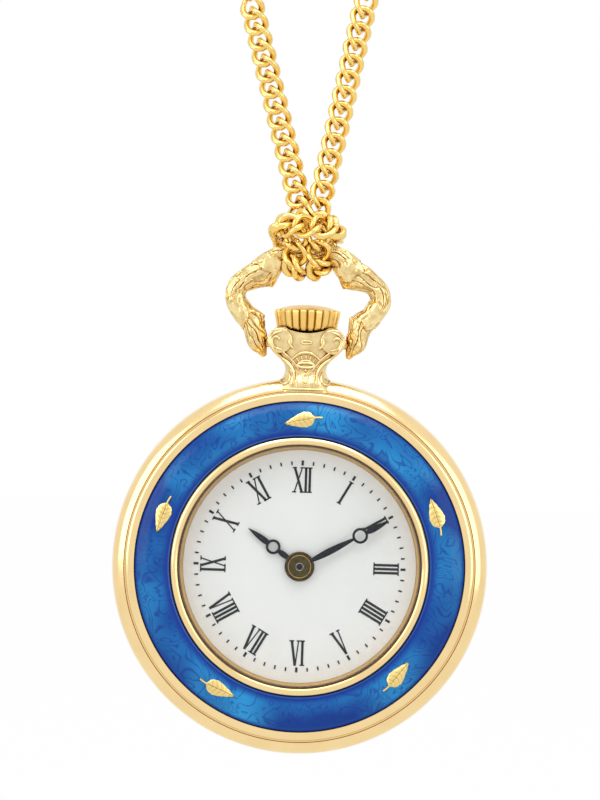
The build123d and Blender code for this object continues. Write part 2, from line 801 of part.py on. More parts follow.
# Circuit board and the can of the quartz crystal
with BuildPart() as circuit_board:
    with BuildSketch(front(board_back)):
        with Locations((board_x, board_z)):
            Rectangle(board_width, board_height)
    extrude(amount=board_thickness)
    with BuildSketch(front(board_back)):
        with Locations((board_x, board_z)):
            Rectangle(board_width / 2, board_width / 2)
    extrude(amount=-chip_height)
    with BuildSketch(front(board_back - board_thickness)):
        with Locations((board_x, board_z)):
            with GridLocations(board_width - board_post_width, board_height - board_post_width, 2, 2):
                Rectangle(board_post_width, board_post_width)
    extrude(amount=board_back - board_thickness - plate_back - seat_fit)
circuit_board.part.label = "circuit_board"
export_step(circuit_board.part, "parts/circuit_board.step")

with BuildPart() as quartz_can:
    with BuildSketch(level(can_z - can_length / 2)):
        with Locations((can_x, plate_back + seat_fit + can_radius)):
            Circle(can_radius)
    extrude(amount=can_length)
    fillet(quartz_can.edges().filter_by(GeomType.CIRCLE).group_by(Axis.Z)[-1], radius=can_radius / 2)
quartz_can.part.label = "quartz_can"
export_step(quartz_can.part, "parts/quartz_can.step")

# Train bridge, with its three pillars and the bearings of the train
pillar_places = [polar(radius, angle) for radius, angle in bridge_pillars]
with BuildPart() as train_bridge:
    with BuildSketch(front(bridge_back)):
        with Locations(*pillar_places):
            Circle(bridge_half_width)
        with Locations(rotor_place):
            Circle(bridge_rotor_pad)
        make_hull()
    extrude(amount=bridge_back - bridge_front)
    with BuildSketch(front(bridge_front)):
        with Locations(*pillar_places):
            Circle(pillar_radius)
    extrude(amount=bridge_front - plate_back - seat_fit)
    with BuildSketch(front(bridge_back + overrun)):
        with Locations((0, 0), intermediate_place, rotor_place):
            Circle(pivot_radius + running_fit)
        with Locations(*pillar_places):
            Circle(bridge_screw_radius + seat_fit)
    extrude(amount=bridge_back - plate_back + 2 * overrun, mode=Mode.SUBTRACT)
train_bridge.part.label = "train_bridge"
export_step(train_bridge.part, "parts/train_bridge.step")

# Screws of the train bridge, slotted, with their shanks in the pillars
with BuildPart() as bridge_screws:
    with BuildSketch(front(bridge_back + bridge_screw_head_height)):
        with Locations(*pillar_places):
            Circle(bridge_screw_head_radius)
    extrude(amount=bridge_screw_head_height)
    with BuildSketch(front(bridge_back)):
        with Locations(*pillar_places):
            Circle(bridge_screw_radius)
    extrude(amount=bridge_back - plate_back - seat_fit)
    with BuildSketch(front(bridge_back + bridge_screw_head_height)):
        with Locations(*pillar_places):
            Rectangle(bridge_screw_head_radius * 2 + seat_fit, slot_width)
    extrude(amount=slot_depth, mode=Mode.SUBTRACT)
bridge_screws.part.label = "bridge_screws"
export_step(bridge_screws.part, "parts/bridge_screws.step")

# Movement ring, which centres the movement in the case
with BuildPart() as movement_ring:
    with BuildSketch(front(movement_ring_back)):
        Circle(movement_ring_radius)
        Circle(plate_radius + seat_fit, mode=Mode.SUBTRACT)
    extrude(amount=movement_ring_back - plate_front)
    with BuildSketch(front(movement_ring_back + overrun)):
        with Locations((0, movement_ring_radius)):
            Rectangle(movement_ring_slot, movement_ring_radius)
    extrude(amount=movement_ring_back + overrun + stem_radius + air_gap, mode=Mode.SUBTRACT)
movement_ring.part.label = "movement_ring"
export_step(movement_ring.part, "parts/movement_ring.step")

# Stem tube, pressed in the case band and the pendant
with BuildPart() as stem_tube:
    with BuildSketch(level(tube_foot_z)):
        Circle(tube_radius)
        Circle(stem_radius + running_fit, mode=Mode.SUBTRACT)
    extrude(amount=tube_top_z - tube_foot_z)
stem_tube.part.label = "stem_tube"
export_step(stem_tube.part, "parts/stem_tube.step")

# Winding stem
with BuildPart() as stem:
    with BuildSketch(level(stem_foot_z)):
        Circle(stem_pilot_radius)
    extrude(amount=crown_bore_top_z - stem_foot_z)
    with BuildSketch(level(stem_square_foot_z)):
        Rectangle(stem_square, stem_square)
    extrude(amount=stem_square_top_z - stem_square_foot_z)
    with BuildSketch(level(stem_square_top_z)):
        Circle(stem_radius)
    extrude(amount=stem_groove_foot_z - stem_square_top_z)
    with BuildSketch(level(stem_groove_foot_z + stem_groove_width)):
        Circle(stem_radius)
    extrude(amount=crown_bore_top_z - stem_groove_foot_z - stem_groove_width)
stem.part.label = "stem"
export_step(stem.part, "parts/stem.step")

# Clutch, a sliding pinion on the stem's square, with face teeth towards the setting wheel
with BuildPart() as clutch:
    with BuildSketch(level(clutch_foot_z)):
        Circle(clutch_radius)
        Rectangle(stem_square + 2 * running_fit, stem_square + 2 * running_fit, mode=Mode.SUBTRACT)
    extrude(amount=clutch_length)
    with BuildSketch(level(clutch_foot_z)):
        with PolarLocations(clutch_radius, clutch_teeth):
            Rectangle(clutch_radius, pi * clutch_radius / clutch_teeth)
    extrude(amount=clutch_tooth_depth, mode=Mode.SUBTRACT)
clutch.part.label = "clutch"
export_step(clutch.part, "parts/clutch.step")

# Setting lever, whose finger lies in the stem's groove
lever_lean = degrees(asin(crown_travel / 2 / lever_arm))
lever_pivot = (lever_arm * cos(radians(lever_lean)),
               stem_groove_foot_z + stem_groove_width / 2 + crown_travel / 2)
with BuildPart() as setting_lever:
    with BuildSketch(front(lever_front + lever_thickness)):
        with Locations(lever_pivot):
            Circle(lever_eye_radius)
        with Locations(Location((lever_pivot[0], lever_pivot[1], 0), (0, 0, lever_lean))):
            with Locations((-(lever_arm + lever_finger_width) / 2, 0)):
                Rectangle(lever_arm + lever_finger_width, lever_finger_width)
    extrude(amount=lever_thickness)
    with BuildSketch(front(lever_front)):
        with Locations(lever_pivot):
            Circle(lever_post_radius - running_fit)
    extrude(amount=lever_front - plate_front - dial_gap)
setting_lever.part.label = "setting_lever"
export_step(setting_lever.part, "parts/setting_lever.step")

# Back cover, snapped in the band with its lip
with BuildPart() as back_cover:
    with BuildSketch(section_plane):
        with BuildLine():
            Polyline((0, cover_inner_front), (band_bore - cover_lip_thickness, cover_inner_front),
                     (band_bore - cover_lip_thickness, cover_lip_front),
                     (band_bore - running_fit, cover_lip_front),
                     (band_bore - running_fit, cover_gasket_front),
                     (band_bore - running_fit - cover_gasket_width, cover_gasket_front),
                     (band_bore - running_fit - cover_gasket_width,
                      cover_gasket_front + cover_gasket_height),
                     (band_bore - running_fit, cover_gasket_front + cover_gasket_height),
                     (band_bore - running_fit, band_back), (cover_edge_radius, band_back))
            ThreePointArc((cover_edge_radius, band_back),
                          (cover_edge_radius - seat_fit * 2, (band_back + cover_rim_back) / 2),
                          (cover_rim_radius, cover_rim_back))
            Polyline((cover_rim_radius, cover_rim_back), (cover_flat_radius, cover_back),
                     (0, cover_back), (0, cover_inner_front))
        make_face()
    revolve(axis=watch_axis)
back_cover.part.label = "back_cover"
export_step(back_cover.part, "parts/back_cover.step")

# Gasket in the groove of the back cover's lip
with BuildPart() as back_gasket:
    with BuildSketch(front(cover_gasket_front + cover_gasket_height)):
        Circle(band_bore - running_fit)
        Circle(band_bore - running_fit - cover_gasket_width, mode=Mode.SUBTRACT)
    extrude(amount=cover_gasket_height)
back_gasket.part.label = "back_gasket"
export_step(back_gasket.part, "parts/back_gasket.step")


def hand_outline(angle, hub_radius, ring_place, ring_radius, ring_bore, petal, tip):
    """A leaf-shaped hand with a ring in it, drawn towards twelve and turned to its angle."""
    ring_foot = ring_place - ring_radius
    ring_top = ring_place + ring_radius
    with BuildSketch() as outline:
        with BuildLine():
            Spline((hand_neck_half_width, hub_radius / 2), (petal, (hub_radius + ring_foot) / 2),
                   (hand_neck_half_width, ring_foot + ring_radius - ring_bore))
            Polyline((hand_neck_half_width, ring_foot + ring_radius - ring_bore),
                     (-hand_neck_half_width, ring_foot + ring_radius - ring_bore))
            Spline((-hand_neck_half_width, ring_foot + ring_radius - ring_bore),
                   (-petal, (hub_radius + ring_foot) / 2), (-hand_neck_half_width, hub_radius / 2))
            Line((-hand_neck_half_width, hub_radius / 2), (hand_neck_half_width, hub_radius / 2))
        make_face()
        with BuildLine():
            Spline((hand_neck_half_width, ring_top - ring_radius + ring_bore),
                   (petal, ring_top + (tip - ring_top) * hand_belly_share),
                   (hand_point_half_width, tip))
            Line((hand_point_half_width, tip), (-hand_point_half_width, tip))
            Spline((-hand_point_half_width, tip),
                   (-petal, ring_top + (tip - ring_top) * hand_belly_share),
                   (-hand_neck_half_width, ring_top - ring_radius + ring_bore))
            Line((-hand_neck_half_width, ring_top - ring_radius + ring_bore),
                 (hand_neck_half_width, ring_top - ring_radius + ring_bore))
        make_face()
        with Locations((0, ring_place)):
            Circle(ring_radius)
            Circle(ring_bore, mode=Mode.SUBTRACT)
    return outline.sketch.rotate(Axis.Z, clock_turn(angle))


# Hour hand and its round hub
with BuildPart() as hour_hand:
    with BuildSketch(front(hour_hand_back)):
        add(hand_outline(hour_angle, hour_hub_radius, hour_ring_place, hour_ring_radius,
                         hour_ring_bore, hour_petal_half_width, hour_tip))
        Circle(hour_hub_radius + seat_fit, mode=Mode.SUBTRACT)
    extrude(amount=hand_thickness)
hour_hand.part.label = "hour_hand"
export_step(hour_hand.part, "parts/hour_hand.step")

with BuildPart() as hour_hub:
    with BuildSketch(front(hour_hand_back)):
        Circle(hour_hub_radius)
        Circle(cannon_pipe_radius + running_fit, mode=Mode.SUBTRACT)
    extrude(amount=hub_thickness)
    chamfer(hour_hub.faces().sort_by(Axis.Y)[0].outer_wire().edges(), length=hub_chamfer)
hour_hub.part.label = "hour_hub"
export_step(hour_hub.part, "parts/hour_hub.step")

# Minute hand, its hub and the steel post in its middle
with BuildPart() as minute_hand:
    with BuildSketch(front(minute_hand_back)):
        add(hand_outline(minute_angle, minute_hub_radius, minute_ring_place, minute_ring_radius,
                         minute_ring_bore, minute_petal_half_width, minute_tip))
        Circle(minute_hub_radius + seat_fit, mode=Mode.SUBTRACT)
    extrude(amount=hand_thickness)
minute_hand.part.label = "minute_hand"
export_step(minute_hand.part, "parts/minute_hand.step")

with BuildPart() as minute_hub:
    with BuildSketch(front(minute_hand_back)):
        Circle(minute_hub_radius)
    extrude(amount=hub_thickness)
    chamfer(minute_hub.faces().sort_by(Axis.Y)[0].edges(), length=hub_chamfer)
minute_hub.part.label = "minute_hub"
export_step(minute_hub.part, "parts/minute_hub.step")

with BuildPart() as centre_post:
    with BuildSketch(front(minute_hand_back - hub_thickness)):
        Circle(post_cap_radius)
    extrude(amount=post_cap_height)
    with BuildSketch(front(minute_hand_back - hub_thickness - post_cap_height)):
        Circle(post_eye_radius)
    extrude(amount=post_eye_height)
    fillet(centre_post.faces().sort_by(Axis.Y)[0].edges(), radius=post_eye_height * post_round_share)
centre_post.part.label = "centre_post"
export_step(centre_post.part, "parts/centre_post.step")

# Pendant, a vase-shaped neck with a scroll on each shoulder and a hollow top for the crown
with BuildPart() as pendant:
    for height, width, depth in zip(neck_section_heights, neck_section_widths, neck_section_depths):
        with BuildSketch(level(height)):
            RectangleRounded(width, depth, depth * neck_corner_share)
    loft()
    with BuildSketch(front(volute_depth / 2)):
        with Locations((-volute_x, volute_z), (volute_x, volute_z)):
            Circle(volute_radius)
    extrude(amount=volute_depth)
    with BuildSketch(section_plane):
        with BuildLine():
            Polyline((0, bevel_front - overrun), (bevel_inner_radius, bevel_front - overrun),
                     (bevel_inner_radius, bevel_front), (case_radius - band_edge_in, band_front))
            ThreePointArc((case_radius - band_edge_in, band_front),
                          (case_radius, (band_front + band_back) / 2),
                          (case_radius - band_edge_in, band_back))
            Polyline((case_radius - band_edge_in, band_back), (cover_edge_radius, cover_back),
                     (0, cover_back), (0, bevel_front - overrun))
        make_face()
    revolve(axis=watch_axis, mode=Mode.SUBTRACT)
    with BuildSketch(Plane.XZ.offset(0).shift_origin((0, 0, case_z))):
        with BuildLine():
            Polyline((0, crown_bowl_z - air_gap), (crown_bowl_flat_radius, crown_bowl_z - air_gap))
            ThreePointArc((crown_bowl_flat_radius, crown_bowl_z - air_gap),
                          ((crown_bowl_flat_radius + crown_low_radius) / 2 + air_gap,
                           crown_bowl_z + (crown_side_foot_z - crown_bowl_z) * bowl_rise_share
                           - air_gap),
                          (crown_low_radius + air_gap, crown_side_foot_z - air_gap))
            Polyline((crown_low_radius + air_gap, crown_side_foot_z - air_gap),
                     (crown_top_radius + air_gap * 2, crown_side_foot_z + overrun),
                     (0, crown_side_foot_z + overrun), (0, crown_bowl_z - air_gap))
        make_face()
    revolve(axis=Axis.Z, mode=Mode.SUBTRACT)
    with BuildSketch(level(case_radius - overrun)):
        Circle(tube_radius + seat_fit)
    extrude(amount=crown_side_top_z - case_radius, mode=Mode.SUBTRACT)
    for side in (-1, 1):
        with BuildSketch(Plane(origin=(side * (bow_pin_tip_x - bow_pin_fit), 0, case_z + bow_pivot_z),
                               x_dir=(0, 1, 0), z_dir=(side, 0, 0))):
            Circle(bow_pin_radius + bow_pin_fit)
        extrude(amount=overrun, mode=Mode.SUBTRACT)
        with BuildSketch(level(bow_pivot_z - volute_radius * 2)):
            with Locations((side * (bow_inner_x - air_gap / 2 + overrun), 0)):
                Rectangle(2 * overrun, volute_depth * 2)
        extrude(amount=volute_radius * 4, mode=Mode.SUBTRACT)
pendant.part.label = "pendant"
export_step(pendant.part, "parts/pendant.step")



def fluted_outline(radius):
    """Outline of the crown at this radius: wide ribs with narrow grooves between them."""
    points = []
    for flute in range(crown_flutes):
        middle = 360 * flute / crown_flutes
        for depth, share in ((flute_depth, 0), (0, flute_shares[0]), (0, flute_shares[1])):
            points.append(polar(radius - depth, middle + share * 360 / crown_flutes))
    return points


# Crown, fluted, with a domed top and a bowl-shaped underside
crown_lean = (crown_top_radius - crown_low_radius) / (crown_side_top_z - crown_side_foot_z)
crown_root_radius = crown_low_radius - crown_lean * (crown_side_foot_z - crown_bowl_z)
with BuildPart() as crown:
    for height, radius in ((crown_bowl_z, crown_root_radius), (crown_side_top_z, crown_top_radius)):
        with BuildSketch(level(height)):
            with BuildLine():
                Polyline(*fluted_outline(radius), close=True)
            make_face()
    loft(ruled=True)
    with BuildSketch(Plane.XZ.shift_origin((0, 0, case_z))):
        with BuildLine():
            Line((crown_bowl_flat_radius, crown_bowl_z - overrun), (crown_bowl_flat_radius, crown_bowl_z))
            ThreePointArc((crown_bowl_flat_radius, crown_bowl_z),
                          ((crown_bowl_flat_radius + crown_low_radius) / 2,
                           crown_bowl_z + (crown_side_foot_z - crown_bowl_z) * bowl_rise_share),
                          (crown_low_radius, crown_side_foot_z))
            Polyline((crown_low_radius, crown_side_foot_z),
                     (crown_low_radius + overrun, crown_side_foot_z + overrun * bowl_slope_share),
                     (crown_low_radius + overrun, crown_bowl_z - overrun),
                     (crown_bowl_flat_radius, crown_bowl_z - overrun))
        make_face()
    revolve(axis=Axis.Z, mode=Mode.SUBTRACT)
    with BuildSketch(Plane.XZ.shift_origin((0, 0, case_z))):
        with BuildLine():
            Polyline((0, crown_side_top_z), (crown_top_radius - flute_depth, crown_side_top_z))
            ThreePointArc((crown_top_radius - flute_depth, crown_side_top_z),
                          (crown_top_radius / 2, crown_side_top_z
                           + (crown_dome_z - crown_side_top_z) * dome_rise_share),
                          (0, crown_dome_z))
            Line((0, crown_dome_z), (0, crown_side_top_z))
        make_face()
    revolve(axis=Axis.Z)
    with BuildSketch(level(crown_bowl_z - overrun)):
        Circle(crown_recess_radius)
    extrude(amount=crown_recess_top_z - crown_bowl_z + overrun, mode=Mode.SUBTRACT)
    with BuildSketch(level(crown_bowl_z)):
        Circle(stem_radius + seat_fit / 2)
    extrude(amount=crown_bore_top_z - crown_bowl_z, mode=Mode.SUBTRACT)
crown.part.label = "crown"
export_step(crown.part, "parts/crown.step")

# Gasket in the crown, sliding on the stem tube
with BuildPart() as crown_gasket:
    with BuildSketch(level(gasket_foot_z)):
        Circle(crown_recess_radius)
        Circle(tube_radius + running_fit, mode=Mode.SUBTRACT)
    extrude(amount=gasket_height)
crown_gasket.part.label = "crown_gasket"
export_step(crown_gasket.part, "parts/crown_gasket.step")

# Bow, a bar that swells and tapers along its centre line, with thorns on its inner side
bow_half = [(x, case_z + z, bar) for x, z, bar in zip(bow_line_x, bow_line_z, bow_bar_radii)]
bow_stations = bow_half + [(-x, z, bar) for x, z, bar in reversed(bow_half[:-1])]
bow_points = [(x, 0, z) for x, z, bar in bow_stations]
with BuildPart() as bow:
    with BuildLine(mode=Mode.PRIVATE):
        bow_edge = Spline(*bow_points, tangents=((0, 0, 1), (0, 0, -1)))
    for point, station in zip(bow_points, bow_stations):
        along = bow_edge.param_at_point(Vector(*point))
        with BuildSketch(Plane(origin=point, x_dir=(0, 1, 0), z_dir=bow_edge % along)):
            Circle(station[2])
    loft()
    for side in (-1, 1):
        for root_x, root_z, tip_x, tip_z in (cusp_low, cusp_high):
            lean = Vector(side * (tip_x - root_x), 0, tip_z - root_z)
            for x, z, thickness in ((root_x, root_z, cusp_root_radius),
                                    (tip_x, tip_z, cusp_tip_radius)):
                with BuildSketch(Plane(origin=(side * x, 0, case_z + z), x_dir=(0, 1, 0),
                                       z_dir=lean)):
                    Circle(thickness)
            loft()
    with BuildSketch(level(bow_pivot_z - volute_radius * 2)):
        Rectangle(bow_inner_x * 2, volute_depth)
    extrude(amount=bow_flat_top_z - bow_pivot_z + volute_radius * 2, mode=Mode.SUBTRACT)
    for side in (-1, 1):
        with BuildSketch(Plane(origin=(side * bow_pin_tip_x, 0, case_z + bow_pivot_z),
                               x_dir=(0, 1, 0), z_dir=(side, 0, 0))):
            Circle(bow_pin_radius)
        extrude(amount=bow_inner_x - bow_pin_tip_x + bow_pin_radius)
bow.part.label = "bow"
export_step(bow.part, "parts/bow.step")


def link_place(turn):
    """Point of a curb link's centre line, for a turn round the link in radians."""
    return Vector(link_half_length * cos(turn), link_half_width * sin(turn),
                  link_twist * sin(2 * turn))


def link_run(turn):
    """Direction of a curb link's centre line at the same turn."""
    return Vector(-link_half_length * sin(turn), link_half_width * cos(turn),
                  2 * link_twist * cos(2 * turn))


# One curb link, a twisted oval of wire that lies flat in the chain
with BuildPart() as link:
    for half in (0, 1):
        for section in range(link_sections // 2 + 1):
            turn = pi * half + 2 * pi * section / link_sections
            run = link_run(turn)
            with BuildSketch(Plane(origin=link_place(turn), x_dir=run.cross(Vector(0, 0, 1)),
                                   z_dir=run)):
                RegularPolygon(wire_radius, wire_sides)
        loft(ruled=True)


def strand_plane(foot, lean, along):
    """Plane of a link or ring at this distance up a strand, x along the strand, z to the front."""
    run = Vector(-sin(radians(lean)), 0, cos(radians(lean)))
    return Plane(origin=Vector(foot[0], foot[1], case_z + foot[2]) + run * along, x_dir=run,
                 z_dir=(0, -1, 0))


def strand_links(foot, lean, count):
    """Places of a strand's links, from the knot upwards."""
    return [strand_plane(foot, lean, i * link_pitch).location for i in range(count)]


# The two strands of the chain, each a row of separate links
with BuildPart() as chain_left_strand:
    with Locations(*strand_links(left_strand_foot, left_strand_lean, left_strand_link_count)):
        add(link.part)
chain_left_strand.part.label = "chain_left_strand"
export_step(chain_left_strand.part, "parts/chain_left_strand.step")

with BuildPart() as chain_right_strand:
    with Locations(*strand_links(right_strand_foot, right_strand_lean, right_strand_link_count)):
        add(link.part)
chain_right_strand.part.label = "chain_right_strand"
export_step(chain_right_strand.part, "parts/chain_right_strand.step")

# The hitch, where the chain goes round the bow: down the front, up behind and across the front
half_route = [(across, depth, height) for across, depth, height
              in zip(hitch_across, hitch_depth, hitch_height)]
hitch_points = [Vector(knot_x - across, depth, case_z + height)
                for across, depth, height in half_route]
hitch_points += [Vector(knot_x + across, depth, case_z + height)
                 for across, depth, height in reversed(half_route)]
hitch_radii = []
for before, corner, after in zip(hitch_points, hitch_points[1:], hitch_points[2:]):
    half_turn = radians((corner - before).get_angle(after - corner)) / 2
    shorter = min((corner - before).length, (after - corner).length)
    hitch_radii.append(shorter * hitch_run_share / tan(half_turn))
print("radii of the hitch:", [round(radius, 2) for radius in hitch_radii])

with BuildPart() as chain_hitch:
    with BuildLine() as hitch_line:
        FilletPolyline(*hitch_points, radius=hitch_radii)
    with BuildSketch(Plane(origin=hitch_points[0], z_dir=hitch_points[1] - hitch_points[0])):
        Circle(hitch_radius)
    sweep()
hitch_length = sum(edge.length for edge in hitch_line.edges())
hitch_share = chain_hitch.part.volume / (pi * hitch_radius ** 2 * hitch_length)
print("length of the hitch:", round(hitch_length, 2), "share of its volume:", round(hitch_share, 4))
chain_hitch.part.label = "chain_hitch"
export_step(chain_hitch.part, "parts/chain_hitch.step")


def ring_place(foot, lean, along):
    """Plane of a ring that stands across a strand's flat face, z across the strand."""
    strand = strand_plane(foot, lean, along)
    return Plane(origin=strand.origin, x_dir=strand.x_dir, z_dir=strand.y_dir)


def turned(place, angle):
    """The same plane with its x axis turned by this angle about its z axis."""
    run = place.x_dir * cos(radians(angle)) + place.y_dir * sin(radians(angle))
    return Plane(origin=place.origin, x_dir=run, z_dir=place.z_dir)


def wire_ring(place, radius, wire, start, arc):
    """Part of a ring of eight-sided wire, round the place's z axis, from start through arc."""
    with BuildPart() as ring:
        begin = turned(place, start)
        with BuildSketch(Plane(origin=begin.origin, x_dir=begin.x_dir, z_dir=-begin.y_dir)):
            with Locations((radius, 0)):
                RegularPolygon(wire, ring_sides)
        revolve(axis=Axis(place.origin, place.z_dir), revolution_arc=arc)
    return ring.part


# Jump rings through the last link of each strand
jump_ring_lift = jump_ring_grip + jump_ring_radius
left_top = (left_strand_link_count - 1) * link_pitch
right_top = (right_strand_link_count - 1) * link_pitch
with BuildPart() as end_ring_left:
    add(wire_ring(ring_place(left_strand_foot, left_strand_lean, left_top + jump_ring_lift),
                  jump_ring_radius, jump_wire_radius, 0, 360))
end_ring_left.part.label = "end_ring_left"
export_step(end_ring_left.part, "parts/end_ring_left.step")

with BuildPart() as end_ring_right:
    add(wire_ring(ring_place(right_strand_foot, right_strand_lean, right_top + jump_ring_lift),
                  jump_ring_radius, jump_wire_radius, 0, 360))
end_ring_right.part.label = "end_ring_right"
export_step(end_ring_right.part, "parts/end_ring_right.step")

# Spring-ring clasp: a hollow ring with a mouth, its eye on the jump ring and its sliding bolt
eye_along = left_top + jump_ring_lift + jump_ring_radius - clasp_eye_grip + clasp_eye_radius
clasp_along = eye_along + clasp_eye_radius + clasp_tube_radius + clasp_radius
eye_plane = strand_plane(left_strand_foot, left_strand_lean, eye_along)
clasp_plane = strand_plane(left_strand_foot, left_strand_lean, clasp_along)
mouth_start = clasp_gap_middle - clasp_gap_half_angle
mouth_end = clasp_gap_middle + clasp_gap_half_angle
slot_start = mouth_end + clasp_slot_margin
slot_arc = clasp_bolt_travel + clasp_knob_arc + clasp_slot_margin
with BuildPart() as clasp_ring:
    add(wire_ring(clasp_plane, clasp_radius, clasp_tube_radius, mouth_end,
                  360 - 2 * clasp_gap_half_angle))
    add(wire_ring(clasp_plane, clasp_radius, clasp_tube_bore, mouth_end,
                  clasp_bolt_reach + clasp_bolt_travel), mode=Mode.SUBTRACT)
    add(wire_ring(clasp_plane, clasp_radius, clasp_tube_bore, mouth_start - clasp_socket_arc,
                  clasp_socket_arc), mode=Mode.SUBTRACT)
    # slot for the knob, on the outer side of the tube
    with BuildSketch(Plane(origin=clasp_plane.origin, x_dir=clasp_plane.x_dir,
                           z_dir=clasp_plane.z_dir).offset(-clasp_slot_half_width)):
        Circle(clasp_radius + clasp_tube_radius + overrun)
        Circle(clasp_radius, mode=Mode.SUBTRACT)
        Polygon((0, 0), *[polar(clasp_radius * 2, slot_start + slot_arc * step / slot_steps)
                          for step in range(slot_steps + 1)], align=None, mode=Mode.INTERSECT)
    extrude(amount=2 * clasp_slot_half_width, mode=Mode.SUBTRACT)
    add(wire_ring(eye_plane, clasp_eye_radius, clasp_eye_wire, 0, 360))
clasp_ring.part.label = "clasp_ring"
export_step(clasp_ring.part, "parts/clasp_ring.step")

with BuildPart() as clasp_bolt:
    add(wire_ring(clasp_plane, clasp_radius, clasp_tube_bore - 2 * running_fit,
                  mouth_start + clasp_bolt_nose,
                  2 * clasp_gap_half_angle - clasp_bolt_nose + clasp_bolt_reach))
    knob_angle = slot_start + clasp_knob_arc / 2 + clasp_slot_margin / 2
    knob_run = turned(clasp_plane, knob_angle).x_dir
    with BuildSketch(Plane(origin=clasp_plane.origin + knob_run * clasp_radius,
                           x_dir=clasp_plane.z_dir, z_dir=knob_run)):
        Circle(clasp_knob_radius)
    extrude(amount=clasp_tube_radius + clasp_knob_height)
clasp_bolt.part.label = "clasp_bolt"
export_step(clasp_bolt.part, "parts/clasp_bolt.step")
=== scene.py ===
# %% [markdown]
# # A pendant watch in Blender
#
# This lesson dresses a small quartz pendant watch: a round case with an enamelled bezel, a white
# dial under a flat crystal, a fluted crown, and a swinging bow that hangs from a curb chain. The
# solids come from a CAD model in the same frame, in metres, with the point that the chain is held
# from at the origin, +Z up and the dial facing -Y. Each cell makes one piece or one finish.

# %% The frame
import json
import math

import bpy
import bmesh
from mathutils import Matrix, Vector, noise


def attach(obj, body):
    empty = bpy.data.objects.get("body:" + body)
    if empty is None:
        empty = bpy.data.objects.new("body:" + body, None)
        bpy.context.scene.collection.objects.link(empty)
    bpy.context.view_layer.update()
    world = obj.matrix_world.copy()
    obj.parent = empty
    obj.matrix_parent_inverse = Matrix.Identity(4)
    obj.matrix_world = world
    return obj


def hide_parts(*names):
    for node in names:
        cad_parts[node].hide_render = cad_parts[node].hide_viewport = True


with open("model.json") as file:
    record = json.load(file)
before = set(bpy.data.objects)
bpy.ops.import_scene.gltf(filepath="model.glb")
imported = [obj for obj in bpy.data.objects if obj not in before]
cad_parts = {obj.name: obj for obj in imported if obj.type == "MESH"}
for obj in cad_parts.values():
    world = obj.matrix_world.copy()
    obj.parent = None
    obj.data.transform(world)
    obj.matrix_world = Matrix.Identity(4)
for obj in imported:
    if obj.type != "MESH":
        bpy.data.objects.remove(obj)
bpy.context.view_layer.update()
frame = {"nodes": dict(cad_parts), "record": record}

MM = 0.001
case_z = -47.5 * MM          # height of the middle of the dial


def at(x, y, z):
    """A place in metres, from millimetres right of, behind and above the middle of the dial."""
    return Vector((x * MM, y * MM, case_z + z * MM))


def in_mm(lengths):
    """Lengths in metres as rounded millimetres, to print."""
    return [round(length / MM, 2) for length in lengths]


# %% [markdown]
# ## Working by hand, in code
#
# The pieces are modelled with the same operators as in the window. An operator acts on all that is
# selected, so every piece starts from an empty selection. The last steps are the same for all
# pieces too: apply the object's place, smooth it, give it its finish, hang it under the empty of
# the body it moves with, and hide the CAD nodes it stands for.

# %% Starting and finishing a piece
def clear_choice():
    """Leaves edit mode and selects nothing."""
    if bpy.context.object and bpy.context.object.mode != "OBJECT":
        bpy.ops.object.mode_set(mode="OBJECT")
    bpy.ops.object.select_all(action="DESELECT")


def choose(*pieces):
    """Selects these pieces alone, with the first one active."""
    clear_choice()
    for piece in pieces:
        piece.select_set(True)
    bpy.context.view_layer.objects.active = pieces[0]
    return pieces[0]


def join(name, pieces):
    """Joins pieces into one object with its place in its mesh."""
    whole = choose(*pieces)
    if len(pieces) > 1:
        bpy.ops.object.join()
    bpy.ops.object.transform_apply(location=True, rotation=True, scale=True)
    whole.name = whole.data.name = name
    return whole


def dress(piece, finish, body, nodes=(), angle=35):
    """The last steps of every piece."""
    choose(piece)
    bpy.ops.object.transform_apply(location=True, rotation=True, scale=True)
    bpy.ops.object.shade_smooth_by_angle(angle=math.radians(angle))
    piece.data.materials.clear()
    piece.data.materials.append(finish)
    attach(piece, body)
    if nodes:
        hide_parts(*nodes)
    print(piece.name, "faces:", len(piece.data.polygons), "on", body)
    return piece

# %% [markdown]
# Some steps come back in many pieces. What repeats is copied, each copy with its own mesh. Faces
# are pointed outwards before edit mode is left. A modifier is applied as soon as it is set. No real
# edge is perfectly sharp, so the Bevel modifier rounds it a little. Short round bars with such
# edges serve as pins, knobs and drums.

# %% Steps that come back
def twin(piece):
    """A copy of a piece, with a mesh of its own."""
    copy = piece.copy()
    copy.data = piece.data.copy()
    bpy.context.collection.objects.link(copy)
    return copy


def edit_all(piece):
    """Goes to edit mode with all of a piece selected."""
    choose(piece)
    bpy.ops.object.mode_set(mode="EDIT")
    bpy.ops.mesh.select_all(action="SELECT")


def leave_edit():
    """Points all faces outwards and goes back to object mode."""
    bpy.ops.mesh.select_all(action="SELECT")
    bpy.ops.mesh.normals_make_consistent(inside=False)
    bpy.ops.object.mode_set(mode="OBJECT")


def modified(piece, kind, **settings):
    """Gives a piece a modifier with these settings and applies it."""
    choose(piece)
    bpy.ops.object.modifier_add(type=kind)
    modifier = piece.modifiers[-1]
    for name, value in settings.items():
        setattr(modifier, name, value)
    bpy.ops.object.modifier_apply(modifier=modifier.name)
    return piece


def bevelled(piece, width, segments, angle=30):
    """Rounds each edge that is sharper than this angle in degrees. The width is in millimetres."""
    return modified(piece, "BEVEL", width=width * MM, segments=segments, limit_method="ANGLE",
                    angle_limit=math.radians(angle))


def round_bar(radius, length, middle, rotation, edge, sides=32, segments=3):
    """A cylinder with rounded rims. Radius, length and edge are in millimetres."""
    clear_choice()
    bpy.ops.mesh.primitive_cylinder_add(vertices=sides, radius=radius * MM, depth=length * MM,
                                        location=middle, rotation=rotation)
    return bevelled(bpy.context.object, edge, segments)

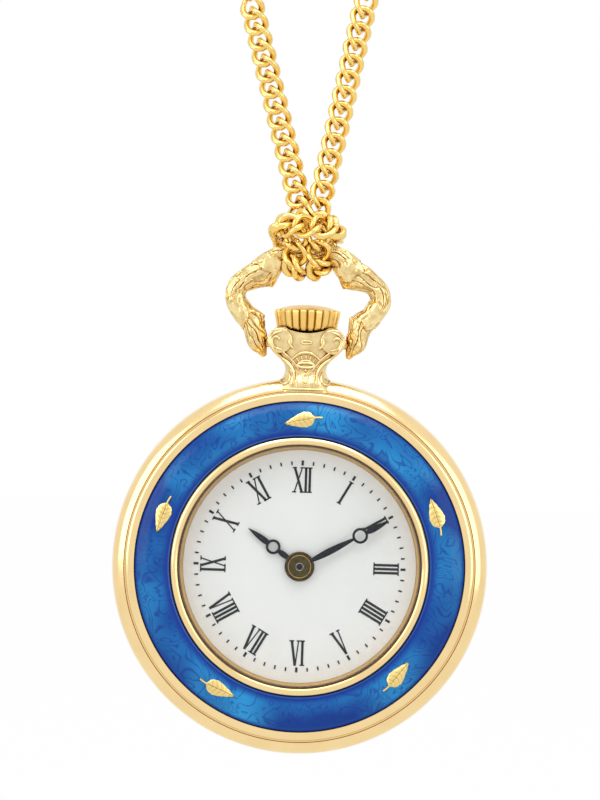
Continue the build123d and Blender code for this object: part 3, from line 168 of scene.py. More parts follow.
# %% [markdown]
# ## Turned pieces
#
# The case, the bezel, the enamel, the crystal and the back are all made on a lathe, or pressed
# in round dies. In Blender a lathe is the Spin tool: one vertex is extruded along the profile,
# and the profile is spun round the watch's axis, which runs along Y. The crown is turned in the
# same way, but round its stem, which runs along Z.

# %% Profiles and the lathe
def lone_vertex(name, place):
    """A mesh of one vertex at this place, in edit mode, ready to be extruded."""
    clear_choice()
    bpy.ops.mesh.primitive_plane_add(size=MM)
    piece = bpy.context.object
    piece.name = piece.data.name = name
    bpy.ops.object.mode_set(mode="EDIT")
    bpy.ops.mesh.select_mode(type="VERT")
    bpy.ops.mesh.select_all(action="SELECT")
    bpy.ops.mesh.merge(type="CENTER")
    bpy.ops.transform.translate(value=place)
    return piece


def arc(start, through, end, count=8):
    """Points on the arc through three profile points, without its first one."""
    (ax, ay), (bx, by), (cx, cy) = start, through, end
    a_far, b_far, c_far = (x * x + y * y for x, y in (start, through, end))
    double_area = 2 * (ax * (by - cy) + bx * (cy - ay) + cx * (ay - by))
    ux = (a_far * (by - cy) + b_far * (cy - ay) + c_far * (ay - by)) / double_area
    uy = (a_far * (cx - bx) + b_far * (ax - cx) + c_far * (bx - ax)) / double_area
    radius = math.hypot(ax - ux, ay - uy)
    turns = [math.atan2(y - uy, x - ux) for x, y in (start, through, end)]
    sweep = (turns[2] - turns[0]) % math.tau
    if (turns[1] - turns[0]) % math.tau > sweep:
        sweep -= math.tau
    return [(ux + radius * math.cos(turns[0] + sweep * i / count),
             uy + radius * math.sin(turns[0] + sweep * i / count)) for i in range(1, count + 1)]


def lathe(name, profile, steps=180, axis=(0, 1, 0), above=0.0):
    """Spins a profile of (radius, place along the axis), both in millimetres.

    The axis runs through the middle of the dial, or this many millimetres above it."""
    axis, middle = Vector(axis), at(0, 0, above)
    places = [middle + (Vector((radius, 0, 0)) + axis * along) * MM for radius, along in profile]
    piece = lone_vertex(name, places[0])
    for place, following in zip(places, places[1:]):
        bpy.ops.mesh.extrude_vertices_move(
            TRANSFORM_OT_translate={"value": tuple(following - place)})
    bpy.ops.mesh.select_all(action="SELECT")
    bpy.ops.mesh.spin(steps=steps, angle=math.tau, center=middle, axis=axis)
    bpy.ops.mesh.select_all(action="SELECT")
    bpy.ops.mesh.remove_doubles(threshold=0.002 * MM)
    leave_edit()
    return piece

# %% [markdown]
# ## Colours and nodes
#
# Colours are written as on a screen, in sRGB, and one function turns them to the linear values
# that shaders use. One more function adds a node with its settings and its links. The size of a
# pattern is always given in millimetres of the real thing.

# %% Helpers for materials
def linear(colour):
    """A hex colour as a linear RGBA tuple."""
    parts = [int(colour[i:i + 2], 16) / 255 for i in (1, 3, 5)]
    return tuple(c / 12.92 if c <= 0.04045 else ((c + 0.055) / 1.055) ** 2.4 for c in parts) + (1,)


def per_mm(size):
    """Scale of a texture whose features are this many millimetres large."""
    return 1 / (size * MM)


def add_node(material, kind, inputs=(), **settings):
    """Adds a node. An input takes a plain value or another node's output, which is linked."""
    node = material.node_tree.nodes.new(kind)
    for name, value in settings.items():
        setattr(node, name, value)
    for socket, value in dict(inputs).items():
        if isinstance(value, bpy.types.NodeSocket):
            material.node_tree.links.new(value, node.inputs[socket])
        else:
            node.inputs[socket].default_value = value
    return node


def new_finish(name, **constants):
    """A material whose shader has these plain values on its own sockets."""
    finish = bpy.data.materials.new(name)
    finish.use_nodes = True
    shader = finish.node_tree.nodes["Principled BSDF"]
    for socket, value in constants.items():
        shader.inputs[socket.replace("_", " ")].default_value = value
    return finish, shader

# %% [markdown]
# ## The camera
#
# The photograph is taken straight on with a long lens, and the watch hangs about two degrees
# clockwise in it. So the camera looks along +Y from half a metre away, and rolls by that angle.
# The picture is 600 by 800 pixels, and 12.55 of them make a millimetre at the dial.

# %% Camera
picture_scale = 12.55                        # picture pixels per millimetre
picture_width, picture_height = 600, 800     # pixels
dial_x, dial_y = 299.5, 566.5                # pixel of the middle of the dial
roll = math.radians(1.8)
lens, film = 300.0, 36.0
distance = picture_height / picture_scale * MM * lens / film
dial_in_picture = Vector((dial_x - picture_width / 2, 0, picture_height / 2 - dial_y))
aim = at(0, -1.9, 0) - Matrix.Rotation(-roll, 3, "Y") @ dial_in_picture * MM / picture_scale
clear_choice()
bpy.ops.object.camera_add(location=aim - Vector((0, distance, 0)),
                          rotation=(math.pi / 2, -roll, 0))
camera = bpy.context.object
camera.data.lens, camera.data.sensor_width = lens, film
camera.data.clip_start = 0.05
bpy.context.scene.camera = camera
print("camera", round(distance, 3), "m away, aimed in mm at", in_mm(aim))

# %% [markdown]
# ## The chain
#
# The chain is a curb chain: each link is an oval of gold wire, twisted until it lies flat. The
# chain comes down, goes round the bow in a hitch, and goes up again, so it is one line of links.
# That line is a smooth spline through a few points of the route. One link is modelled once and
# copied along it.

# %% Route of the chain
route = [(-5.243, 0.3, 44.740), (-1.485, 0.3, 31.098), (-1.1, 0.3, 29.7),
         (-0.9, 0, 28.3), (-1.02, -1.55, 26.9), (-1.15, -1.55, 23.65), (-1.25, 1.55, 23.65),
         (-2.4, 1.55, 27.1), (-2.4, -2.75, 27.1), (2.0, -2.75, 27.1), (2.0, 1.55, 27.1),
         (0.85, 1.55, 23.65), (0.75, -1.55, 23.65), (0.62, -1.55, 26.9), (0.5, 0, 28.3),
         (0.85, -0.3, 29.7), (1.124, -0.3, 31.107), (3.827, -0.3, 45.013)]


def nurbs_line(name, places, resolution=12, closed=False):
    """A smooth curve that has these places as its control points."""
    curve = bpy.data.curves.new(name, "CURVE")
    curve.dimensions, curve.resolution_u = "3D", resolution
    spline = curve.splines.new("NURBS")
    spline.points.add(len(places) - 1)
    for point, place in zip(spline.points, places):
        point.co = tuple(place) + (1,)
    spline.order_u = 3                   # set after the points, or the runs stay straight
    spline.use_endpoint_u = not closed
    spline.use_cyclic_u = closed
    return curve


def as_mesh(name, curve):
    """The mesh of a curve, as an object in the scene."""
    holder = bpy.data.objects.new("curve_holder", curve)
    piece = bpy.data.objects.new(name, bpy.data.meshes.new_from_object(holder))
    bpy.data.objects.remove(holder)
    bpy.context.collection.objects.link(piece)
    return piece


drawn_line = as_mesh("chain_route", nurbs_line("chain_route", [at(*place) for place in route], 24))
chain_line = [vertex.co.copy() for vertex in drawn_line.data.vertices]
bpy.data.objects.remove(drawn_line)
chain_length = sum((b - a).length for a, b in zip(chain_line, chain_line[1:]))
print("chain line:", len(chain_line), "points,", round(chain_length / MM, 2), "mm")

# %% [markdown]
# A link starts as a round curve with a bevel, so that its wire stays round when it is drawn out
# to an oval. The Simple Deform modifier then gives it the twist that a curb chain is known by.

# %% One link
link_half_length, link_half_width, link_wire = 0.98, 0.88, 0.26      # mm, wire by its radius
link_twist = -112                                                    # degrees from end to end


def curb_link():
    """One twisted link along X, flat side towards Z."""
    clear_choice()
    bpy.ops.curve.primitive_bezier_circle_add(radius=link_half_width * MM)
    bpy.ops.object.mode_set(mode="EDIT")
    bpy.ops.curve.select_all(action="SELECT")
    bpy.ops.transform.resize(value=(link_half_length / link_half_width, 1, 1))
    bpy.ops.object.mode_set(mode="OBJECT")
    line = bpy.context.object.data
    line.resolution_u = 7
    line.bevel_depth, line.bevel_resolution = link_wire * MM, 3
    bpy.ops.object.convert(target="MESH")
    return modified(bpy.context.object, "SIMPLE_DEFORM", deform_method="TWIST", deform_axis="X",
                    angle=math.radians(link_twist))


link = curb_link()
print("link:", len(link.data.polygons), "faces, in mm:", in_mm(link.dimensions))

# %% [markdown]
# The flat side of a link faces the viewer on the two strands, turned a little about the strand, and
# in the hitch it faces away from the middle of the knot. Between them it turns gradually.

# %% Place and turn of each link
strand_turn = math.radians(38)
knot_middle = at(-0.2, 0, 25.2)
knot_top, strand_foot = 27.0, 29.0           # mm above the dial, where the turning begins and ends


def place_on(line, along):
    """Place and direction at this distance along a line of points."""
    gone = 0
    for a, b in zip(line, line[1:]):
        step = (b - a).length
        if gone + step >= along or b is line[-1]:
            return a.lerp(b, (along - gone) / step), (b - a).normalized()
        gone += step


def eased(share):
    """A share between 0 and 1 that starts and ends slowly."""
    share = min(max(share, 0), 1)
    return share * share * (3 - 2 * share)


def link_frame(along):
    """Matrix of the link at this distance along the chain."""
    place, run = place_on(chain_line, along)
    out = (place - knot_middle).normalized()
    height = (place.z - case_z) / MM
    share = eased((height - knot_top) / (strand_foot - knot_top))
    flat = out.lerp(Vector((0, -1, 0)), share)
    flat = (flat - flat.dot(run) * run).normalized()
    flat = Matrix.Rotation(share * strand_turn, 3, run) @ flat
    across = flat.cross(run)
    return Matrix.Translation(place) @ Matrix((run, across, flat)).transposed().to_4x4()

# %% Copies along the route
strand_links, pitch = 13, 1.3 * MM
strand = (strand_links - 1) * pitch
between = chain_length - 2 * strand
knot_links = round(between / pitch)
places = [i * pitch for i in range(strand_links)]
places += [strand + between * i / knot_links for i in range(1, knot_links)]
places += [chain_length - i * pitch for i in range(strand_links)]
copies = []
for along in places:
    copies.append(twin(link))
    copies[-1].matrix_world = link_frame(along)
bpy.data.objects.remove(link)
chain = join("curb_chain", copies)
print("links:", len(copies), "in the hitch:", knot_links - 1)

# %% [markdown]
# ## The gold
#
# The case, the pendant and the bow are brass with a polished, pale gold plate. The chain's plate is
# a little richer, and the crown's is satin and deeper. Polished plate mirrors its surroundings, so
# nearly all of its look comes from the shape and the lamps. What the shader adds is painted shade,
# a deeper colour in the corners and hollows, and painted reflection, soft patches of that deeper
# colour. It also adds small waves of the casting and fine wear.
# A mix node has three sets of sockets with the same names, one for each kind of value. The sockets
# for colours are numbers 6 and 7, and the mixed colour is output 2.

# %% Polished and satin plate
def colour_mix(material, factor, first, second):
    """The output of a colour mix. Each colour is a linear tuple or another node's output."""
    node = add_node(material, "ShaderNodeMix", {0: factor, 6: first, 7: second}, data_type="RGBA")
    return node.outputs[2]


def spread(owner, value, low, high, to_low=0.0, to_high=1.0):
    """The output of a map range node, clamped, in a material or a world."""
    return add_node(owner, "ShaderNodeMapRange",
                    {"Value": value, "From Min": low, "From Max": high,
                     "To Min": to_low, "To Max": to_high}).outputs["Result"]


def noise_of(finish, size_mm, detail, **settings):
    """Noise on the object's own coordinates, with features of this many millimetres."""
    place = add_node(finish, "ShaderNodeTexCoord").outputs["Object"]
    inputs = {"Vector": place, "Scale": per_mm(size_mm), "Detail": detail, **settings}
    return add_node(finish, "ShaderNodeTexNoise", inputs).outputs["Fac"]


def bump(finish, shader, height, strength, distance_mm):
    """Raises the surface a little by this height."""
    node = add_node(finish, "ShaderNodeBump", {"Height": height, "Strength": strength,
                                               "Distance": distance_mm * MM})
    finish.node_tree.links.new(node.outputs["Normal"], shader.inputs["Normal"])


def gold(name, colour, deep, roughness, wave_mm, wave,
         shade_reach_mm=0.35, reflection_patch_mm=2.2, reflection_share=0.12):
    """Gold plate. Its deep colour is painted shade in hollows and painted reflection in soft
    patches.
    """
    finish, shader = new_finish(name, Metallic=1.0)
    connect = finish.node_tree.links.new
    # Painted shade: ambient occlusion lays the deep colour in hollows and corners.
    ao_shade = add_node(finish, "ShaderNodeAmbientOcclusion", {"Distance": shade_reach_mm * MM}, samples=6)
    # Painted reflection: soft noise patches of the deep colour stand in for darker reflections.
    reflection_patches = spread(finish, noise_of(finish, reflection_patch_mm, 3.0), 0.3, 0.7, 0.0, reflection_share)
    pale = colour_mix(finish, reflection_patches, linear(colour), linear(deep))
    unshaded_share = spread(finish, ao_shade.outputs["AO"], 0.45, 0.97)
    connect(colour_mix(finish, unshaded_share, linear(deep), pale), shader.inputs["Base Color"])
    wear = noise_of(finish, 0.5, 5.0)
    connect(spread(finish, wear, 0.0, 1.0, roughness * 0.75, roughness * 1.3),
            shader.inputs["Roughness"])
    bump(finish, shader, noise_of(finish, wave_mm, 2.0), wave, 0.05)
    return finish


def grained(name, colour, deep, roughness, grain_mm, detail, harsh, play, strength, **constants):
    """A finish with one grain, which changes its tone, its gloss and its height.

    Play is how far the shader's roughness strays from its middle, as a share of it."""
    finish, shader = new_finish(name, **constants)
    connect = finish.node_tree.links.new
    grain = noise_of(finish, grain_mm, detail, Roughness=harsh)
    connect(colour_mix(finish, spread(finish, grain, 0.3, 0.7), linear(deep), linear(colour)),
            shader.inputs["Base Color"])
    connect(spread(finish, grain, 0.2, 0.8, roughness * (1 - play), roughness * (1 + play)),
            shader.inputs["Roughness"])
    bump(finish, shader, grain, strength, 0.02)
    return finish


def plain_metal(name, colour, deep, roughness, grain_mm):
    """A machined metal with fine grain."""
    return grained(name, colour, deep, roughness, grain_mm, 6.0, 0.6, 0.3, 0.3, Metallic=1.0)


# Each gold finish paints shade in its hollows and reflection patches in its deep colour.
polished_gold = gold("polished_gold_plate", "#f6dba2", "#c48d3e", 0.15, 1.6, 0.2)
cast_gold = gold("cast_gold_plate", "#fae5ab", "#a26a14", 0.19, 0.5, 0.7, 0.45, 0.6, 0.4)
chain_gold = gold("chain_gold_plate", "#f8d985", "#b0761c", 0.15, 1.0, 0.2, 0.22)
crown_gold = gold("satin_crown_gold", "#f8d27c", "#965f14", 0.3, 0.4, 0.35, 0.22)
print("gold finishes: 4")

# %% [markdown]
# Where a piece is chased or veined, its mesh carries an attribute that says how deep in a groove
# each point lies. Painted shade is laid there over the plate.

# %% Painted shade in grooves
def paint_groove_shade(finish, colour, share):
    """Lays painted shade of this colour where the mesh says that a groove is."""
    base = finish.node_tree.nodes["Principled BSDF"].inputs["Base Color"]
    plated = base.links[0].from_socket
    groove = add_node(finish, "ShaderNodeAttribute", attribute_name="groove")
    # Painted shade: the deeper in a groove, the more of this colour.
    dark = spread(finish, groove.outputs["Fac"], 0.15, 1.0, 0.0, share)
    finish.node_tree.links.new(colour_mix(finish, dark, plated, linear(colour)), base)

# %% [markdown]
# ## Clasp and jump rings
#
# A chain like this closes with a spring-ring clasp: a ring of tube with a mouth, and a sprung bolt
# inside it that a thumb knob draws back along a slot. Each part of it is wire or tube bent to part
# of a circle, so one helper bends a round bar, and Booleans cut the bore and the slot.

# %% Wire bent to part of a circle
def bent_wire(name, middle, run, side, radius, wire, start=0, sweep=360):
    """Round wire along an arc in the plane of two directions, angles in degrees from the first."""
    curve = bpy.data.curves.new(name, "CURVE")
    curve.dimensions = "3D"
    curve.bevel_depth, curve.bevel_resolution, curve.use_fill_caps = wire * MM, 5, True
    spline = curve.splines.new("POLY")
    steps, closed = 64, sweep == 360
    spline.points.add(steps - 1 if closed else steps)
    for i, point in enumerate(spline.points):
        turn = math.radians(start + sweep * i / steps)
        place = middle + (run * math.cos(turn) + side * math.sin(turn)) * radius * MM
        point.co = tuple(place) + (1,)
    spline.use_cyclic_u = closed
    return as_mesh(name, curve)


def boolean(piece, other, operation):
    """Applies a Boolean of another piece, which is deleted afterwards."""
    modified(piece, "BOOLEAN", object=other, operation=operation, solver="EXACT")
    bpy.data.objects.remove(other)

# %% Jump rings
to_front = Vector((0, -1, 0))
ring_up, eye_up, clasp_up = 16.95 * MM, 17.95 * MM, 21.3 * MM      # from the foot of a strand
strand_feet = {"left": (at(-1.1, 0.3, 29.7), 15.4),                # foot, lean in degrees
               "right": (at(0.85, -0.3, 29.7), -11.0)}


def up_strand(name):
    """Foot of a strand and its direction upwards."""
    foot, lean = strand_feet[name]
    return foot, Vector((-math.sin(math.radians(lean)), 0, math.cos(math.radians(lean))))


for name in strand_feet:
    foot, run = up_strand(name)
    ring = bent_wire(f"jump_ring_{name}", foot + run * ring_up, run, to_front, 0.9, 0.22)
    dress(ring, chain_gold, "bow_and_chain",
                            (f"end_ring_{name}",), 60)

# %% Spring-ring clasp
foot, run = up_strand("left")
side = to_front.cross(run)
clasp_middle = foot + run * clasp_up
mouth_from, mouth_to = 278, 322                    # degrees
slot_from, slot_sweep = 326, 60
tube_line = 2.2                                    # mm from the clasp's middle to the tube's


def in_tube(name, wire, first, sweep, radius=tube_line):
    """Round wire on the clasp's own circle, thinner or thicker than its tube."""
    return bent_wire(name, clasp_middle, run, side, radius, wire, first, sweep)


clasp = in_tube("clasp_tube", 0.55, mouth_to, 360 - (mouth_to - mouth_from))
for first in (mouth_to, mouth_from - 6):
    boolean(clasp, in_tube("collar", 0.62, first, 6), "UNION")
boolean(clasp, in_tube("long_bore", 0.38, mouth_to - 2, 94), "DIFFERENCE")
boolean(clasp, in_tube("socket", 0.38, mouth_from - 12, 14), "DIFFERENCE")
boolean(clasp, in_tube("slot", 0.3, slot_from, slot_sweep, tube_line + 0.58), "DIFFERENCE")
eye = bent_wire("clasp_eye", foot + run * eye_up, run, side, 0.6, 0.2)
clasp = dress(join("clasp_spring_ring", [clasp, eye]), chain_gold,
              "bow_and_chain", ("clasp_ring",), 40)

bolt = in_tube("clasp_bolt_wire", 0.32, mouth_from + 3, 93)
knob_turn = math.radians(slot_from + 10)
knob_run = run * math.cos(knob_turn) + side * math.sin(knob_turn)
knob = round_bar(0.25, 1.3, clasp_middle + knob_run * (tube_line + 0.65) * MM,
                 knob_run.to_track_quat("Z", "Y").to_euler(), 0.1)
dress(join("clasp_thumb_bolt", [bolt, knob]), chain_gold,
      "clasp_bolt", ("clasp_bolt",), 40)

# %% The chain's finish
dress(chain, chain_gold, "bow_and_chain",
      ("chain_left_strand", "chain_right_strand", "chain_hitch"), 60)

# %% [markdown]
# ## The case
#
# The case is a round band with a bevel in front. A separate bezel is pressed into it, with a
# sunk channel for the enamel and a raised rim that holds the crystal. The back is pressed on.
# All are turned, so each is one profile on the lathe.

# %% Case, bezel and back
case_profile = [(13.98, -2.72), (14.02, -2.75)]
case_profile += arc((14.02, -2.75), (14.52, -2.5), (14.86, -2.02), 6)
case_profile += arc(case_profile[-1], (15.0, 0.1), (14.86, 2.2), 10)
case_profile += [(11.62, 2.2), (11.62, -2.0), (13.98, -2.0), (13.98, -2.72)]
case_band = lathe("case_band_turned", case_profile, 240)
dress(case_band, polished_gold, "case", ("case_band",), 30)

bezel_profile = [(13.96, -2.02), (11.58, -2.02), (11.58, -1.0), (11.38, -1.0), (11.38, -2.3),
                 (9.95, -2.6), (9.55, -2.6), (9.55, -2.85), (9.72, -2.85), (9.72, -3.42)]
bezel_profile += arc((9.72, -3.42), (9.95, -3.52), (10.2, -3.42), 6)
bezel_profile += [(10.25, -3.36), (10.27, -2.45), (13.2, -2.45), (13.2, -2.93)]
bezel_profile += arc((13.2, -2.93), (13.45, -2.98), (13.72, -2.95), 4)
bezel_profile += [(13.8, -2.9), (13.8, -2.8), (13.94, -2.8), (13.96, -2.77), (13.96, -2.02)]
bezel = lathe("bezel_turned", bezel_profile, 240)
dress(bezel, polished_gold, "case", ("bezel",), 25)

back_profile = [(0, 3.6), (9.0, 3.6)] + arc((9.0, 3.6), (11.8, 3.38), (14.2, 2.78), 8)
back_profile += arc((14.2, 2.78), (14.66, 2.56), (14.8, 2.24), 4)
back_profile += [(13.4, 2.24), (13.3, 2.45), (0, 2.45)]
back_cover = lathe("back_cover_turned", back_profile, 180)
dress(back_cover, polished_gold, "back_cover", ("back_cover",), 25)

# %% [markdown]
# ## The enamel
#
# The ring is blue enamel over an engraved ground: a clear royal blue, brushed with dark swirls,
# brighter where the light comes through. Painted shade makes it nearly black along its edges, and a
# thin painted highlight runs near the inner edge. A wavy pattern of thin dark lines is drawn by a
# noise texture that is folded into bands. The painted edge shading is drawn by the distance from
# the middle of the dial.

# %% Enamel ring
enamel_profile = [(13.18, -2.47), (13.18, -2.75)]
enamel_profile += arc((13.18, -2.75), (12.55, -3.15), (11.7, -3.35), 8)
enamel_profile += arc((11.7, -3.35), (10.95, -3.33), (10.29, -3.15), 6)
enamel_profile += [(10.29, -2.47), (13.18, -2.47)]
enamel_ring = lathe("enamel_ring_turned", enamel_profile, 240)

enamel_blue, shader = new_finish("royal_blue_enamel", Roughness=0.18, IOR=1.5,
                                 Specular_IOR_Level=0.2)
cloud = noise_of(enamel_blue, 6.5, 1.5)
ground = colour_mix(enamel_blue, spread(enamel_blue, cloud, 0.4, 0.68),
                    linear("#023c92"), linear("#2c97d6"))
swirl = noise_of(enamel_blue, 3.2, 2.0, Distortion=1.6)
fold = add_node(enamel_blue, "ShaderNodeMath", {0: swirl, 1: 0.055},
                operation="PINGPONG").outputs["Value"]
stroke_share = spread(enamel_blue, fold, 0.002, 0.02, 0.35, 1.0)
drawn = colour_mix(enamel_blue, stroke_share, linear("#14308c"), ground)
bump(enamel_blue, shader, fold, 0.15, 0.05)
print("enamel ring:", len(enamel_ring.data.polygons), "faces")

# %% Painted shade and a painted highlight along the enamel's edges
# Painted shade darkens both edges, with a thin painted highlight near the inner one.
painted_edge_shading = ((0.0, "#070f33", 1.0), (0.03, "#0a1a55", 1.0), (0.055, "#2f6fd0", 0.9),
              (0.085, "#0c2f92", 0.95), (0.16, "#113b9c", 0.75), (0.3, "#1a55a6", 0.0),
              (0.86, "#1a55a6", 0.0), (0.93, "#1747a0", 0.7), (0.965, "#12338c", 0.9),
              (0.985, "#060b26", 1.0))      # share from inner to outer edge, colour, cover
place = add_node(enamel_blue, "ShaderNodeTexCoord").outputs["Object"]
middle = add_node(enamel_blue, "ShaderNodeVectorMath", {0: place, 1: (0, 0, -case_z)},
                  operation="ADD").outputs["Vector"]
flat = add_node(enamel_blue, "ShaderNodeVectorMath", {0: middle, 1: (1, 0, 1)},
                operation="MULTIPLY").outputs["Vector"]
reach = add_node(enamel_blue, "ShaderNodeVectorMath", {0: flat},
                 operation="LENGTH").outputs["Value"]
bands = add_node(enamel_blue, "ShaderNodeValToRGB",
                 {"Fac": spread(enamel_blue, reach, 10.27 * MM, 13.2 * MM)})
ramp = bands.color_ramp
while len(ramp.elements) < len(painted_edge_shading):
    ramp.elements.new(0.5)
for element, (position, colour, cover) in zip(ramp.elements, painted_edge_shading):
    element.position = position
    element.color = linear(colour)[:3] + (cover,)
enamel_blue.node_tree.links.new(
    colour_mix(enamel_blue, bands.outputs["Alpha"], drawn, bands.outputs["Color"]),
    shader.inputs["Base Color"])
dress(enamel_ring, enamel_blue, "case", ("enamel_ring",), 30)

# %% [markdown]
# ## The crystal and the ring under it
#
# The crystal is flat mineral glass with a small bevel. Clear glass hides nothing, so it is drawn as
# a thin, nearly clear film that only brightens at a grazing angle. The ring under it is a sloping
# wall of darker gold, grained round by the tool.

# %% Crystal and dial ring
crystal = lathe("crystal_turned",
                [(0, -2.95), (9.68, -2.95), (9.68, -3.4), (9.48, -3.6), (0, -3.6)])
clear_glass, shader = new_finish("mineral_glass", Roughness=0.03, IOR=1.5,
                                 Specular_IOR_Level=0.15)
shader.inputs["Base Color"].default_value = linear("#ffffff")
facing = add_node(clear_glass, "ShaderNodeLayerWeight", {"Blend": 0.2}).outputs["Facing"]
clear_glass.node_tree.links.new(spread(clear_glass, facing, 0.0, 1.0, 0.01, 0.3),
                                shader.inputs["Alpha"])
dress(crystal, clear_glass, "case", ("crystal",), 20)

dial_ring = lathe("dial_ring_turned", [(9.88, -2.58), (9.5, -2.58), (9.28, -1.92), (9.88, -1.92),
                                       (9.88, -2.58)], 200)
# Painted shade in the ring's hollows, and faint painted reflection patches.
ring_gold = gold("grained_ring_gold", "#e0bd80", "#8f6c38", 0.4, 0.12, 0.6, 0.4)
dress(dial_ring, ring_gold, "case", ("dial_ring",), 25)

# %% [markdown]
# ## The bow
#
# The bow is a cast bar in the shape of leaf sheaths that overlap: some stretches are ribbed, some
# are smooth, and where one sheath ends its edge stands up and a thorn points inwards. It is easier
# to chase a straight bar than a bent one. So the bar is made straight, with as many rings as the
# ribs need, is chased by moving its vertices in and out, and is bent by a Curve modifier, which
# also draws it thinner and thicker by the curve's radius.

# %% Centre line of the bow
# From one end to the top: across, height, and radius of the bar, in mm.
bow_across = (3.34, 3.54, 3.87, 4.42, 5.2, 5.78, 5.62, 4.85, 3.7, 2.4, 1.2, 0)
bow_height = (16.66, 17.15, 17.8, 19.25, 20.2, 21.2, 22.15, 22.95, 23.75, 24.72, 25.12, 25.2)
bow_bar = (0.14, 0.46, 0.86, 0.84, 0.82, 0.82, 0.82, 0.84, 0.84, 0.8, 0.78, 0.78)
half = [(x, z, bar) for x, z, bar in zip(bow_across, bow_height, bow_bar)]
stations = half + [(-x, z, bar) for x, z, bar in reversed(half[:-1])]
points = [at(x, 0, z) for x, z, bar in stations]
bend = bpy.data.curves.new("bow_line", "CURVE")
bend.dimensions = "3D"
bend.resolution_u = 16
spline = bend.splines.new("BEZIER")
spline.bezier_points.add(len(points) - 1)
# Each handle points along the line from the point before to the point after.
for i, (bezier, place) in enumerate(zip(spline.bezier_points, points)):
    before, after = points[max(i - 1, 0)], points[min(i + 1, len(points) - 1)]
    reach = (after - before) / 6
    bezier.co, bezier.handle_left, bezier.handle_right = place, place - reach, place + reach
    bezier.radius = stations[i][2]
bend_line = bpy.data.objects.new("bow_line", bend)
bpy.context.collection.objects.link(bend_line)
line = bpy.data.meshes.new_from_object(bend_line)
bow_length = sum((a.co - b.co).length for a, b in zip(line.vertices, line.vertices[1:]))
print("bow:", round(bow_length / MM, 2), "mm along its middle")

# %% [markdown]
# The chasing is a formula of two numbers: how far a point lies from the nearer end of the bar,
# and how far round it lies. Ribs are narrow grooves that run along the bar and drift round it. A
# cuff is a step whose edge waves, as the rim of a leaf does.

# %% Chasing of a straight bar
cuffs = ((3.1, 0.09), (5.3, -0.07), (8.5, 0.08), (10.0, -0.08))     # distance from the end, step


def ribs(along, turn, count, drift, width):
    """How deep a groove is here, from 0 to 1."""
    wave = abs(math.sin(count * turn / 2 + drift * along))
    return max(0.0, 1 - wave / width) ** 1.3


def chased(along, turn, side):
    """Radius of the bar as a share of its plain one, and how deep in a groove the point lies."""
    round_place = Vector((0, math.cos(turn), math.sin(turn) + 5 * side))
    drift = noise.noise(round_place * 1.6 + Vector((along * 0.9, 0, 0)))
    edge = along + 0.35 * math.sin(turn * 2 + side) + 0.15 * math.sin(turn * 5 + 2 * side)
    level, ribbed = 1.0, 1.0
    for i, (place, step) in enumerate(cuffs):
        passed = min(max((edge - place) / 0.12, 0), 1)
        level += step * passed
        ribbed = ribbed * (1 - passed) + (0.2 if i % 2 == 0 else 1.0) * passed
    veins = ribs(along, turn + 0.7 * drift, 11, 0.8 * side, 0.6)
    fine = ribs(along, turn + 0.3 - 0.5 * drift, 25, 0.5 * side, 0.6)
    fleck = noise.noise(round_place * 2.6 + Vector((along * 1.9, 3, 0)))
    flecks = min(1.0, max(0.0, fleck - 0.22) * 5)
    lumps = 0.09 * noise.noise(round_place * 1.1 + Vector((along * 0.8, 7, 0)))
    groove = ribbed * (0.12 * veins + 0.04 * fine) + (1 - ribbed) * 0.09 * flecks
    near_edge = max(0.0, 1 - min(abs(edge - place) for place, step in cuffs) / 0.16)
    return level + lumps - groove - 0.05 * near_edge, min(1.0, groove * 8 + near_edge * 0.9)

# %% The straight bar, chased
bar_sides = 56
clear_choice()
bpy.ops.mesh.primitive_circle_add(vertices=bar_sides, radius=MM, fill_type="NGON",
                                  rotation=(0, math.pi / 2, 0))
bow = bpy.context.object
bow.name = bow.data.name = "bow_chased"
bpy.ops.object.transform_apply(location=True, rotation=True, scale=True)
edit_all(bow)
bpy.ops.mesh.extrude_region_move(TRANSFORM_OT_translate={"value": (bow_length, 0, 0)})
bpy.ops.mesh.select_all(action="DESELECT")
edit = bmesh.from_edit_mesh(bow.data)
for edge in edit.edges:
    edge.select = abs(edge.verts[0].co.x - edge.verts[1].co.x) > bow_length / 2
bmesh.update_edit_mesh(bow.data)
bpy.ops.mesh.select_mode(type="EDGE")
bpy.ops.mesh.subdivide(number_cuts=99)
bpy.ops.mesh.subdivide(number_cuts=2)
leave_edit()
# The groove attribute tells how deep in a groove each point lies, for the painted shade.
depth_of_groove = bow.data.attributes.new("groove", "FLOAT", "POINT")
for vertex in bow.data.vertices:
    side = 1 if vertex.co.x < bow_length / 2 else -1
    along = min(vertex.co.x, bow_length - vertex.co.x) / MM
    turn_round = math.atan2(vertex.co.z, vertex.co.y)
    share, depth = chased(along, turn_round, side)
    vertex.co.y *= share
    vertex.co.z *= share
    depth_of_groove.data[vertex.index].value = depth
print("straight bar:", len(bow.data.vertices), "vertices")

# %% Bending the bar
modified(bow, "CURVE", object=bend_line, deform_axis="POS_X")
bpy.data.objects.remove(bend_line)
print("bent bar, in mm:", in_mm(bow.dimensions))

# %% [markdown]
# A thorn is pulled out of the bar by hand: the vertex nearest to its tip is moved to the tip, and
# proportional editing with a straight falloff draws its neighbours after it. The inner sides of the
# two ends are filed flat, so that the bow swings freely beside the pendant, and each carries the
# short pin that it hangs from.

